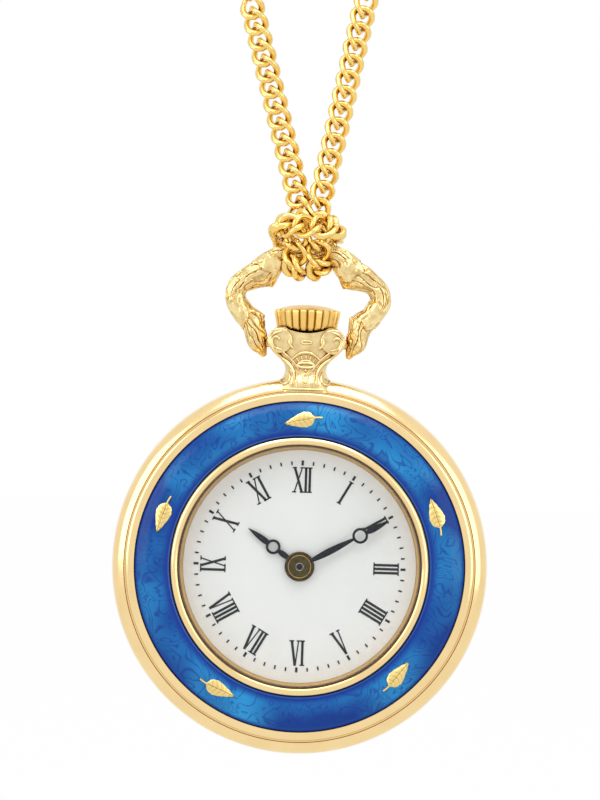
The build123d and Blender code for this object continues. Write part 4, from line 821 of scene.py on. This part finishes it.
# %% Thorns, flats and pins
thorns = ((3.36, 19.95, 1.05), (2.8, 22.22, 1.9))           # across, height, reach of the pull
pin_height, flat_below, flat_across = 17.8, 18.7, 3.16 * MM
bpy.ops.object.mode_set(mode="EDIT")
bpy.ops.mesh.select_mode(type="VERT")
for across, height, pull in thorns:
    for side in (-1, 1):
        tip = at(side * across, 0, height)
        bpy.ops.mesh.select_all(action="DESELECT")
        edit = bmesh.from_edit_mesh(bow.data)
        nearest = min(edit.verts, key=lambda vertex: (vertex.co - tip).length)
        nearest.select = True
        move = tip - nearest.co
        bmesh.update_edit_mesh(bow.data)
        bpy.ops.transform.translate(value=move, use_proportional_edit=True,
                                    proportional_edit_falloff="LINEAR", proportional_size=pull * MM)
edit = bmesh.from_edit_mesh(bow.data)
for vertex in edit.verts:
    if vertex.co.z < at(0, 0, flat_below).z and abs(vertex.co.x) < flat_across:
        vertex.co.x = math.copysign(flat_across, vertex.co.x)
bmesh.update_edit_mesh(bow.data)
bpy.ops.object.mode_set(mode="OBJECT")
pins = [round_bar(0.4, 0.9, at(side * 3.08, 0, pin_height), (0, math.pi / 2, 0), 0.06, segments=2)
        for side in (-1, 1)]
bow = join("bow_chased", [bow] + pins)

# The bow's gold has strong painted reflection patches, and painted shade in its grooves.
bow_gold = gold("chased_bow_gold", "#fbe6a8", "#b27a18", 0.17, 0.5, 0.8, 0.4, 0.5, 0.45)
paint_groove_shade(bow_gold, "#96641a", 0.55)
dress(bow, bow_gold, "bow_and_chain", ("bow",), 50)

# %% [markdown]
# ## The crown
#
# The crown is a wide fluted knob: its ribs are broad and its grooves narrow, it widens towards its
# domed top, and its underside is a bowl. Its outline is spun round the stem, and then every eighth
# column of vertices is drawn inwards to make the grooves, with its neighbours part of the way.

# %% Crown
flutes, columns = 24, 8
groove_depth = 0.17 * MM
groove_share = {0: 1.0, 1: 0.42, 7: 0.42}          # by column
rim_inside, dome_foot = 1.7 * MM, 20.43            # the grooves end at the bowl and at the dome
up = (0, 0, 1)
crown_outline = [(0, 18.36), (1.2, 18.36)] + arc((1.2, 18.36), (1.86, 18.6), (2.36, 18.98), 5)
crown_outline += [(2.42, 19.1), (2.5, 19.5), (2.58, 19.9), (2.64, 20.25), (2.64, 20.34),
                  (2.6, 20.41), (2.5, 20.44)]
crown_outline += arc((2.5, 20.44), (1.4, 20.76), (0.0, 20.86), 7)
crown = lathe("crown_fluted", crown_outline, flutes * columns, up)
for vertex in crown.data.vertices:
    radius = math.hypot(vertex.co.x, vertex.co.y)
    height = (vertex.co.z - case_z) / MM
    column = round(math.atan2(vertex.co.y, vertex.co.x) / math.tau * flutes * columns) % columns
    if radius > rim_inside and height < dome_foot:
        drawn_in = 1 - groove_depth * groove_share.get(column, 0) / radius
        vertex.co.x *= drawn_in
        vertex.co.y *= drawn_in
dress(crown, crown_gold, "crown", ("crown",), 30)

# %% [markdown]
# ## The pendant
#
# The pendant is the vase-shaped neck between case and bow. Its body is a rounded bar that is
# drawn out step by step from the foot up: it narrows to a waist, widens to two scrolls, and ends in
# a hollow that the crown sits in. The hollow is cut with a Boolean, by a lathe piece of the crown's
# shape with a little air round it.

# %% Body of the pendant
neck = ((13.9, 5.0, 5.75), (14.25, 4.75, 5.7), (14.6, 4.25, 5.55), (15.1, 3.55, 5.1),
        (15.6, 3.2, 4.75), (16.1, 3.45, 4.55), (16.7, 4.5, 4.5), (17.3, 5.55, 4.5),
        (17.8, 6.15, 4.5), (18.2, 6.15, 4.4), (18.5, 5.8, 4.3),
        (19.05, 4.9, 4.1))                      # height, width, depth in mm
neck_steps, neck_corner = 34, 1.4 * MM
neck_foot, foot_width, foot_deep = neck[0]
neck_top = neck[-1][0]


def neck_at(height):
    """Width and depth of the neck at this height, in mm, between its sections."""
    for (z0, w0, d0), (z1, w1, d1) in zip(neck, neck[1:]):
        if height <= z1:
            share = min(max((height - z0) / (z1 - z0), 0), 1)
            return w0 + (w1 - w0) * share, d0 + (d1 - d0) * share
    return neck[-1][1:]


clear_choice()
bpy.ops.mesh.primitive_plane_add(size=MM, location=at(0, 0, neck_foot))
pendant = bpy.context.object
pendant.name = pendant.data.name = "pendant_cast"
bpy.ops.object.transform_apply(location=True, rotation=True, scale=True)
edit_all(pendant)
bpy.ops.transform.resize(value=(foot_width, foot_deep, 1), center_override=(0, 0, 0))
bpy.ops.mesh.bevel(offset=neck_corner, segments=7, affect="VERTICES")
bpy.ops.mesh.select_all(action="SELECT")
height, width, deep = neck[0]
for i in range(1, neck_steps + 1):
    new_height = neck_foot + (neck_top - neck_foot) * i / neck_steps
    new_width, new_deep = neck_at(new_height)
    bpy.ops.mesh.extrude_region_move(
        TRANSFORM_OT_translate={"value": (0, 0, (new_height - height) * MM)})
    bpy.ops.transform.resize(value=(new_width / width, new_deep / deep, 1),
                             center_override=at(0, 0, new_height))
    height, width, deep = new_height, new_width, new_deep
leave_edit()
print("neck, in mm:", in_mm(pendant.dimensions))

# %% Scroll drums and the hollow
drum_across, drum_height = 2.12, 17.95
for side in (-1, 1):
    drum = round_bar(1.0, 4.8, at(side * drum_across, 0, drum_height), (math.pi / 2, 0, 0), 0.1,
                     sides=72)
    boolean(pendant, drum, "UNION")
bowl = [(0, 18.21), (1.2, 18.21)] + arc((1.2, 18.21), (1.95, 18.5), (2.53, 18.85), 6)
bowl += [(2.96, 20.0), (0, 20.0)]
boolean(pendant, lathe("bowl_cutter", bowl, 96, up), "DIFFERENCE")
print("pendant:", len(pendant.data.polygons), "faces")

# %% [markdown]
# The relief on its front and back is cast. Two scrolls run down into straps, with a band inside
# each and a lobe beside it. Between them stands a fan of ribs over a leaf and a bead, with a lens
# above. The foot has a panel with an oval, a scroll at each side and a moulding. Each line is a
# curve with a round bevel that lies on the surface, so half of it is sunk in and half stands out.

# %% Relief
def face_depth(x, z):
    """Depth of the pendant's front under a point, in mm from its middle plane."""
    hit, place, normal, face = pendant.ray_cast(at(x, -20, z), Vector((0, 1, 0)))
    return -place.y / MM if hit else 1.5


def relief(name, points, wire, taper=True, closed=False):
    """A raised line on the front through points (x, z) in mm, thinner at both ends."""
    line = nurbs_line(name, [at(x, -face_depth(x, z), z) for x, z in points], 3, closed)
    line.bevel_depth, line.bevel_resolution, line.use_fill_caps = wire * MM, 3, True
    for i, point in enumerate(line.splines[0].points):
        end_share = min(i, len(points) - 1 - i) / max(1, (len(points) - 1) / 2)
        point.radius = 0.45 + 0.55 * min(1, end_share * 2) if taper else 1
    return as_mesh(name, line)


def ellipse(x, z, half_across, half_up, first=0, last=360, count=10):
    """Points round an ellipse, or a stretch of it, from one angle to another in degrees."""
    turns = [math.radians(first + (last - first) * i / count) for i in range(count + 1)]
    return [(x + half_across * math.cos(turn), z + half_up * math.sin(turn)) for turn in turns]

# %% Relief of one side: name, points and wire
side_lines = (
    ("outer_band", ((2.0, 18.7), (2.5, 18.6), (2.9, 18.2), (2.95, 17.75), (2.62, 17.2),
                    (2.1, 16.75), (1.6, 16.4), (1.15, 15.95), (0.92, 15.5), (0.85, 15.0),
                    (1.0, 14.45)), 0.15),
    ("inner_band", ((1.9, 17.1), (1.5, 16.75), (1.05, 16.35), (0.72, 15.95), (0.55, 15.6)), 0.12),
    ("foot_scroll", ((1.35, 15.5), (1.2, 15.1), (1.3, 14.7), (1.65, 14.45), (1.95, 14.6),
                     (1.9, 14.9), (1.65, 14.92)), 0.14),
    ("lobe", ((1.3, 18.2), (1.45, 17.8), (1.2, 17.45), (1.0, 17.35)), 0.13),
    ("panel_edge", ((0.72, 15.45), (0.7, 15.0), (0.7, 14.5), (0.72, 14.2)), 0.07),
    ("volute", ((2.22, 17.93), (2.14, 18.08), (2.32, 18.25), (2.62, 18.22), (2.8, 17.95),
                (2.74, 17.6), (2.42, 17.3), (1.92, 17.22)), 0.13),
)
relief_lines = [relief(name, [(side * x, z) for x, z in line], wire)
                for side in (-1, 1) for name, line, wire in side_lines]

# %% Relief in the middle
fan_foot, rib_apart = 15.45, 17                    # mm, degrees
for rib in range(-3, 4):
    turn = math.radians(90 - rib_apart * rib)
    points = [(r * math.cos(turn), fan_foot + r * math.sin(turn)) for r in (1.0, 1.2, 1.4)]
    relief_lines.append(relief("fan_rib", points, 0.12))
relief_lines.append(relief("fan_rim", ellipse(0, 15.62, 1.36, 1.42, 28, 152), 0.13))
relief_lines.append(relief("fan_base", ellipse(0, 15.4, 0.95, 1.0, 25, 155), 0.1))
for name, height, half_across, half_up, wire in (
        ("fan_leaf", 16.02, 0.72, 0.2, 0.12), ("lens", 17.85, 0.45, 0.12, 0.07),
        ("panel_oval", 15.0, 0.2, 0.36, 0.07), ("panel_eye", 14.42, 0.1, 0.1, 0.05)):
    ring = ellipse(0, height, half_across, half_up)[:-1]
    relief_lines.append(relief(name, ring, wire, taper=False, closed=True))
moulding = [(x / 4, 14.12) for x in range(-7, 8)]
relief_lines.append(relief("foot_moulding", moulding, 0.1, taper=False))
print("relief lines on the front:", len(relief_lines))

# %% Relief on both sides, and the bead
bead_height = 15.6
clear_choice()
bpy.ops.mesh.primitive_uv_sphere_add(
    segments=24, ring_count=14, radius=0.13 * MM,
    location=at(0, -face_depth(0, bead_height), bead_height))
front_relief = join("relief_front", relief_lines + [bpy.context.object])
back_relief = twin(front_relief)
edit_all(back_relief)
bpy.ops.transform.mirror(constraint_axis=(False, True, False), center_override=(0, 0, 0))
leave_edit()
pendant = join("pendant_cast", [pendant, front_relief, back_relief])
dress(pendant, cast_gold, "case", ("pendant",), 40)

# %% [markdown]
# ## The gold leaves
#
# Five leaves are cut from thin gold and fired on the enamel. Each has a strong midrib and side
# veins, and a short stem that trails behind it. A flat grid is drawn into the leaf's outline row
# by row, its veins are pressed in, it is given its thickness, and it is bent to the enamel's curve.

# %% Outline and veins of a leaf
leaf_rows, leaf_columns = 48, 18
leaf_half_width = ((0, 0.02), (0.12, 0.16), (0.3, 0.34), (0.5, 0.52), (0.66, 0.62), (0.8, 0.58),
                   (0.9, 0.44), (0.97, 0.22), (1.0, 0.08))       # share from tip to base, mm


def half_width(share):
    """Half width of the leaf at this share of its length, a little wavy at its edge."""
    for (s0, w0), (s1, w1) in zip(leaf_half_width, leaf_half_width[1:]):
        if share <= s1:
            width = w0 + (w1 - w0) * eased((share - s0) / (s1 - s0))
            return width * (1 + 0.03 * math.sin(share * 38))
    return leaf_half_width[-1][1]


def enamel_front(radius):
    """Depth of the enamel's surface at this radius, in mm. It is highest at its crest."""
    crest, outer, inner = 11.7, 13.18, 10.29
    if radius > crest:
        return -3.35 + 0.6 * ((radius - crest) / (outer - crest)) ** 2
    return -3.35 + 0.2 * ((crest - radius) / (crest - inner)) ** 2

# %% One leaf
leaf_middle = 11.62                                # mm from the middle of the dial
leaf_half_length, leaf_thickness, vein_depth, stem_wire = 1.25, 0.12, 0.045, 0.075      # mm


def gold_leaf(number, around, lean):
    """One leaf on the enamel, this many degrees round from three o'clock, its tip onwards."""
    clear_choice()
    bpy.ops.mesh.primitive_grid_add(x_subdivisions=leaf_rows, y_subdivisions=leaf_columns, size=1)
    leaf = bpy.context.object
    leaf.name = leaf.data.name = f"gold_leaf_{number}"
    bpy.ops.object.mode_set(mode="EDIT")
    edit = bmesh.from_edit_mesh(leaf.data)
    line_depth = edit.verts.layers.float.new("groove")
    turn, run_turn = math.radians(around), math.radians(around + 90 + lean)
    centre = Vector((math.cos(turn), 0, math.sin(turn))) * leaf_middle
    run = Vector((math.cos(run_turn), 0, math.sin(run_turn)))
    across = Vector((-run.z, 0, run.x))
    for vertex in edit.verts:
        share, side = 0.5 - vertex.co.x, vertex.co.y * 2
        width = half_width(share)
        u, v = leaf_half_length * (1 - 2 * share), side * width
        swell = 0.1 * (1 - side * side)
        midrib = math.exp(-((v / 0.04) ** 2))
        wave = abs(math.sin((share * 6.5 - abs(v) * 1.5) * math.pi))
        veins = max(0.0, 1 - wave / 0.4) * min(1.0, abs(v) / 0.06) * (1 - side**4)
        place = centre + run * u + across * v
        depth = enamel_front(math.hypot(place.x, place.z)) - 0.03 - swell
        # The groove attribute tells how deep in a vein the point lies, for the painted shade.
        vertex[line_depth] = max(midrib, 0.7 * veins)
        vertex.co = at(place.x, depth + vein_depth * max(midrib, veins), place.z)
    bmesh.update_edit_mesh(leaf.data)
    bpy.ops.mesh.select_all(action="SELECT")
    bpy.ops.mesh.extrude_region_move(
        TRANSFORM_OT_translate={"value": (0, leaf_thickness * MM, 0)})
    leave_edit()
    stem = []
    for u, v in ((-1.1, 0), (-1.35, 0.01), (-1.6, 0.05), (-1.85, 0.12)):
        place = centre + run * u + across * v
        stem.append(at(place.x, enamel_front(math.hypot(place.x, place.z)) - 0.04, place.z))
    stem_line = nurbs_line("leaf_stem", stem)
    stem_line.bevel_depth, stem_line.bevel_resolution = stem_wire * MM, 3
    stem_line.use_fill_caps = True
    return join(f"gold_leaf_{number}", [leaf, as_mesh("leaf_stem", stem_line)])


# The leaves' gold has painted shade in its hollows and in the pressed veins.
leaf_gold = gold("fired_leaf_gold", "#f0d68c", "#a97f36", 0.3, 0.5, 0.3, 0.1)
paint_groove_shade(leaf_gold, "#8a6524", 0.9)
leaf_places = ((91.8, 11), (162.1, 0), (239.1, 7.5), (314.7, 7.7), (23.5, -3.3))     # degrees
leaves = [gold_leaf(i + 1, around, lean) for i, (around, lean) in enumerate(leaf_places)]
leaves = join("gold_leaves_fired", leaves)
dress(leaves, leaf_gold, "case", ("gold_leaves",), 40)

# %% [markdown]
# ## The dial
#
# The dial is a thin brass disc, lacquered white with a silky sheen. Its numerals are printed in
# dark grey, in a narrow Roman letter with thick and thin strokes, and round them runs a track
# of sixty minute marks. The ink stands a few hundredths of a millimetre above the lacquer, so
# here each stroke is a thin plate of its own. One flat strip is made by hand, and every stroke of
# every numeral is a copy of it, drawn out to its length and width and turned.

# %% Lacquers
def moulded(name, colour, deep, roughness, grain_mm, ior=1.5, **constants):
    """A moulded or lacquered surface with a faint texture."""
    return grained(name, colour, deep, roughness, grain_mm, 4.0, 0.5, 0.15, 0.15,
                   IOR=ior, **constants)


dial_lacquer = moulded("satin_dial_lacquer", "#eff1ef", "#eaedeb", 0.4, 3.0)
dial_ink = moulded("printed_dial_ink", "#2f3235", "#26292c", 0.6, 0.4, Specular_IOR_Level=0.2)
hand_lacquer = moulded("black_hand_lacquer", "#141b24", "#0b1017", 0.35, 1.0,
                       Specular_IOR_Level=0.2)
print("lacquers: 3")

# %% Strokes of the numerals
ink_back, ink_front = -1.895, -1.93                # mm along Y, the lacquer lies at -1.9
numeral_radius, numeral_height = 6.9, 2.03         # mm
thick, thin = 0.2, 0.1                             # mm, width of the two kinds of stroke
half_numeral = numeral_height / 2
bar_height = half_numeral - thin / 2               # the middle of the thin bars at both ends


def ink_strip():
    """A flat strip one unit square, a little thick, that every stroke is drawn from."""
    clear_choice()
    bpy.ops.mesh.primitive_plane_add(size=1)
    strip = bpy.context.object
    edit_all(strip)
    bpy.ops.mesh.extrude_region_move(TRANSFORM_OT_translate={"value": (0, 0, 1)})
    leave_edit()
    return strip


strip = ink_strip()
print("strip:", len(strip.data.polygons), "faces")


def stroke(u0, v0, u1, v1, width):
    """A copy of the strip from one point to another, in the numeral's own u and v."""
    copy = twin(strip)
    run = Vector((u1 - u0, 0, v1 - v0))
    along = run.normalized()
    across = Vector((along.z, 0, -along.x))
    middle = Vector(((u0 + u1) / 2, ink_back, (v0 + v1) / 2))
    up_from_dial = Vector((0, ink_front - ink_back, 0))
    shape = Matrix((across * width, along * run.length, up_from_dial)).transposed()
    copy.matrix_world = Matrix.Translation(middle) @ shape.to_4x4()
    return copy


def thin_bar(u, v, half_length):
    """A thin bar across, which closes the end of a stroke."""
    return stroke(u - half_length, v, u + half_length, v, thin)


def letter_i(u):
    """I: one thick stroke with a thin bar at each end."""
    return [stroke(u, -half_numeral, u, half_numeral, thick),
            thin_bar(u, bar_height, 0.19), thin_bar(u, -bar_height, 0.19)]


def letter_v(u):
    """V: a thick stroke and a thin one that meet at the foot."""
    reach = 0.27
    return [stroke(u - reach, half_numeral, u + 0.02, -half_numeral, thick),
            stroke(u + reach, half_numeral, u + 0.05, -half_numeral, thin),
            thin_bar(u - reach, bar_height, 0.19), thin_bar(u + reach, bar_height, 0.15)]


def letter_x(u):
    """X: a thick stroke down to the right and a thin one up to the right."""
    reach = 0.31
    return [stroke(u - reach, half_numeral, u + reach, -half_numeral, thick),
            stroke(u - reach, -half_numeral, u + reach, half_numeral, thin)] + [
                thin_bar(u + side * reach, end * bar_height, 0.17)
                for side in (-1, 1) for end in (-1, 1)]


letters = {"I": (letter_i, 0.31), "V": (letter_v, 0.86), "X": (letter_x, 0.9)}     # how, advance
numerals = ("XII", "I", "II", "III", "IIII", "V", "VI", "VII", "VIII", "IX", "X", "XI")
print("letters:", len(letters), "numerals:", len(numerals))

# %% [markdown]
# Numerals from IX over XII to III stand with their feet towards the middle. The lower ones, from
# IIII to VIII, are turned round, so that they can be read from below.

# %% Numerals and minute marks
half_turn = Matrix.Rotation(math.pi, 4, "Y")
track_radius = 8.25                                # mm
ink = []


def round_dial(share):
    """Matrix from millimetres at the top of the dial to a place this share of the way round."""
    return (Matrix.Translation((0, 0, case_z)) @ Matrix.Rotation(share * math.tau, 4, "Y")
            @ Matrix.Scale(MM, 4))


for hour, word in enumerate(numerals):
    seat = round_dial(hour / 12) @ Matrix.Translation((0, 0, numeral_radius))
    if 4 <= hour <= 8:
        seat = seat @ half_turn
    u = -sum(letters[letter][1] for letter in word) / 2
    for letter in word:
        draw, advance = letters[letter]
        for part in draw(u + advance / 2):
            part.matrix_world = seat @ part.matrix_world
            ink.append(part)
        u += advance
for minute in range(60):
    half_mark, mark_width = (0.2, 0.19) if minute % 5 == 0 else (0.15, 0.12)
    mark = stroke(0, track_radius - half_mark, 0, track_radius + half_mark, mark_width)
    mark.matrix_world = round_dial(minute / 60) @ mark.matrix_world
    ink.append(mark)
bpy.data.objects.remove(strip)
dial_print = join("dial_print", ink)
edit_all(dial_print)
leave_edit()
dress(dial_print, dial_ink, "case", (), 20)

# %% [markdown]
# ## The hands
#
# The hands are pressed from thin steel and lacquered black. Each is a slim leaf with a round eye
# in it. Both halves of the leaf are drawn out row by row and given their thickness, the eye is a
# small ring turned like a washer, and the joined hand gets bevelled edges.

# %% Parts of a hand
hand_thickness = 0.14                              # mm


def leaf_strip(name, rows, depth):
    """A flat leaf up the Z axis. Each row is a height and a half width, in mm."""
    (v, w), rest = rows[0], rows[1:]
    piece = lone_vertex(name, at(-w, depth, v))
    bpy.ops.mesh.extrude_vertices_move(TRANSFORM_OT_translate={"value": (2 * w * MM, 0, 0)})
    bpy.ops.mesh.select_all(action="SELECT")
    for new_v, new_w in rest:
        bpy.ops.mesh.extrude_edges_move(TRANSFORM_OT_translate={"value": (0, 0, (new_v - v) * MM)})
        bpy.ops.transform.resize(value=(new_w / w, 1, 1), center_override=at(0, depth, new_v))
        v, w = new_v, new_w
    bpy.ops.mesh.select_all(action="SELECT")
    bpy.ops.mesh.extrude_region_move(
        TRANSFORM_OT_translate={"value": (0, -hand_thickness * MM, 0)})
    leave_edit()
    return piece


def washer(name, height, outer, bore, depth):
    """A flat ring of square wire at this height above the middle of the dial."""
    front = depth - hand_thickness
    return lathe(name, [(outer, depth), (bore, depth), (bore, front), (outer, front),
                        (outer, depth)], 48, above=height)


def swell(foot, foot_half, belly, belly_half, tip, tip_half, steps=12):
    """Heights and half widths of a leaf that swells smoothly from foot to belly to tip."""
    rows = []
    for i in range(steps + 1):
        v = foot + (tip - foot) * i / steps
        if v < belly:
            share, low = (v - foot) / (belly - foot), foot_half
        else:
            share, low = (tip - v) / (tip - belly), tip_half
        rows.append((v, low + (belly_half - low) * math.sin(share * math.pi / 2)))
    return rows


def hand(name, angle, depth, lower, ring, upper):
    """A hand of two leaves and an eye, turned clockwise to its angle in degrees."""
    pieces = [leaf_strip(name, lower, depth), washer(name + "_eye", *ring, depth),
              leaf_strip(name + "_tip", upper, depth)]
    whole = bevelled(join(name, pieces), 0.025, 2, 50)
    middle = Matrix.Translation((0, 0, case_z))
    whole.data.transform(middle @ Matrix.Rotation(math.radians(angle), 4, "Y") @ middle.inverted())
    return whole

# %% Hour hand and minute hand
hour_hand = hand("hour_hand_pressed", 305.1, -2.06, swell(0.9, 0.11, 1.62, 0.24, 2.13, 0.13),
                 (2.62, 0.59, 0.39), swell(3.12, 0.2, 3.5, 0.25, 5.09, 0.02, 16))
dress(hour_hand, hand_lacquer, "hour_work", ("hour_hand",), 40)
minute_hand = hand("minute_hand_pressed", 61.3, -2.36, swell(0.7, 0.09, 2.6, 0.27, 4.88, 0.1, 20),
                   (5.42, 0.63, 0.43), swell(5.96, 0.12, 6.5, 0.25, 8.0, 0.02, 16))
dress(minute_hand, hand_lacquer, "minute_work", ("minute_hand",), 40)

# %% [markdown]
# The hands are pressed on the wheels through turned hubs of brass that has gone dull and brown: a
# wide one for the hours, and a narrower one for the minutes with a thin bright rim. In the middle
# stands a bright steel post with a blued end.

# %% Hubs and post
hub_brass = plain_metal("dull_hub_brass", "#5f5533", "#332d19", 0.42, 0.2)
post_steel = plain_metal("bright_post_steel", "#c9bd96", "#8f8462", 0.25, 0.1)
blued_steel = plain_metal("blued_steel", "#1c2a4a", "#131b30", 0.3, 0.15)
hour_hub = lathe("hour_hub_turned",
                 [(0.5, -2.07), (1.14, -2.07), (1.19, -2.1), (1.19, -2.21), (1.13, -2.26),
                  (0.98, -2.26), (0.93, -2.24), (0.5, -2.24), (0.5, -2.07)], 72)
dress(hour_hub, hub_brass, "hour_work", ("hour_hub",), 30)
minute_hub = lathe("minute_hub_turned",
                   [(0.3, -2.37), (0.88, -2.37), (0.905, -2.4), (0.905, -2.52), (0.86, -2.56),
                    (0.3, -2.56), (0.3, -2.37)], 72)
dress(minute_hub, hub_brass, "minute_work", ("minute_hub",), 30)
hub_rim = lathe("minute_hub_rim", [(0.86, -2.54), (0.93, -2.54), (0.93, -2.57), (0.9, -2.59),
                                   (0.87, -2.57), (0.86, -2.54)], 72)
dress(hub_rim, ring_gold, "minute_work", (), 60)
post_cap = lathe("centre_post_turned",
                 [(0, -2.5), (0.33, -2.5), (0.33, -2.64), (0.29, -2.68), (0, -2.68)], 48)
dress(post_cap, post_steel, "minute_work", ("centre_post",), 30)
post_eye = lathe("centre_post_eye",
                 [(0, -2.66), (0.24, -2.66), (0.26, -2.72), (0.18, -2.77), (0, -2.78)], 48)
dress(post_eye, blued_steel, "minute_work", (), 60)

# %% [markdown]
# ## The pieces that stay as the CAD made them
#
# Most of the movement is hidden, but it is there. Its plates and bridges are brass, stamped and
# left with a fine grain. Its wheels are cut from brass sheet, and its arbors and screws are steel.
# The coil is copper wire, the circuit board is green resin, and the spacers are moulded nylon.

# %% Finishes of the movement
finishes = {
    "gasket_rubber": moulded("nitrile_gasket", "#2a2a2b", "#1c1c1d", 0.6, 0.3, 1.52),
    "spacer_white": moulded("nylon_spacer", "#e9e7df", "#dcd9cd", 0.45, 0.8, 1.53),
    "board_green": moulded("circuit_board_resin", "#1f6b45", "#15513a", 0.4, 0.2, 1.55),
    "plate_brass": plain_metal("grained_plate_brass", "#d9b873", "#b8944c", 0.32, 0.15),
    "gear_brass": plain_metal("cut_wheel_brass", "#dfba68", "#b98f3e", 0.26, 0.1),
    "steel": plain_metal("tempered_steel", "#c3c4c8", "#9a9ba0", 0.28, 0.12),
    "copper": plain_metal("enamelled_copper_wire", "#c8693a", "#9a4621", 0.35, 0.08),
    "magnet_dark": plain_metal("sintered_magnet", "#4b4b50", "#36363a", 0.5, 0.1),
    "gold_plate": polished_gold, "chain_gold": chain_gold, "crown_gold": crown_gold,
    "post_steel": post_steel, "dial_white": dial_lacquer, "hand_black": hand_lacquer,
    "hub_brass": hub_brass, "enamel_blue": enamel_blue, "leaf_gold": leaf_gold,
    "crystal": clear_glass, "dial_ring_gold": ring_gold,
}
for subpart in frame["record"]["subparts"]:
    solid = frame["nodes"][subpart["node"]]
    solid.data.materials.clear()
    solid.data.materials.append(finishes[subpart["material_slot"]])
print("finishes:", len(finishes), "on", len(frame["nodes"]), "CAD nodes")

# %% [markdown]
# ## Floor, light and background
#
# The photograph is taken in a light tent: everything round the watch is white, and large soft
# lamps stand above it and at both sides. The floor and the world look pure white to the camera,
# and to mirrors and glass, but light nothing more than a pale room would.

# %% White floor and world
def seen(owner):
    """1 for the rays of the camera, of mirrors and of glass, in a material or a world."""
    path = add_node(owner, "ShaderNodeLightPath")
    either = path.outputs["Is Camera Ray"]
    for other in ("Is Glossy Ray", "Is Transmission Ray"):
        either = add_node(owner, "ShaderNodeMath", {0: either, 1: path.outputs[other]},
                          operation="MAXIMUM").outputs["Value"]
    return either


clear_choice()
bpy.ops.mesh.primitive_plane_add(size=3, location=(0, 0.6, -75 * MM))
floor = bpy.context.object
floor.name = floor.data.name = "floor"
paper, shader = new_finish("matte_white_paper", Roughness=0.9)
shader.inputs["Base Color"].default_value = linear("#f7f7f7")
white_share = 0.985                   # the rest is the paper itself, which keeps a faint shadow
factor = add_node(paper, "ShaderNodeMath", {0: seen(paper), 1: white_share}, operation="MULTIPLY")
white = add_node(paper, "ShaderNodeEmission", {"Color": (1, 1, 1, 1), "Strength": 1.0})
mixed = add_node(paper, "ShaderNodeMixShader",
                 {0: factor.outputs["Value"], 1: shader.outputs["BSDF"],
                  2: white.outputs["Emission"]})
paper.node_tree.links.new(mixed.outputs["Shader"],
                          paper.node_tree.nodes["Material Output"].inputs["Surface"])
floor.data.materials.append(paper)

room_light = 0.4                      # what the world gives, where only light is asked for
world = bpy.data.worlds.new("light_tent")
world.use_nodes = True
bpy.context.scene.world = world
sky = world.node_tree.nodes["Background"]
sky.inputs["Color"].default_value = (1, 1, 1, 1)
world.node_tree.links.new(spread(world, seen(world), 0.0, 1.0, room_light, 1.0),
                          sky.inputs["Strength"])
print("floor and world are white to the camera, the world lights at", room_light)

# %% Lamps
def soft_lamp(name, place_mm, size_mm, power):
    """A square area lamp that faces the middle of the watch."""
    clear_choice()
    target = at(0, 0, 8)
    place = Vector(place_mm) * MM + target
    turn_to = (target - place).to_track_quat("-Z", "Y").to_euler()
    bpy.ops.object.light_add(type="AREA", location=place, rotation=turn_to)
    lamp = bpy.context.object
    lamp.name = lamp.data.name = name
    lamp.data.size, lamp.data.energy = size_mm * MM, power


soft_lamp("top_softbox", (0, -90, 260), 260, 0.55)
soft_lamp("left_softbox", (-260, -200, 90), 220, 0.26)
soft_lamp("right_softbox", (240, -220, 60), 220, 0.18)
bpy.context.scene.view_settings.view_transform = "Standard"
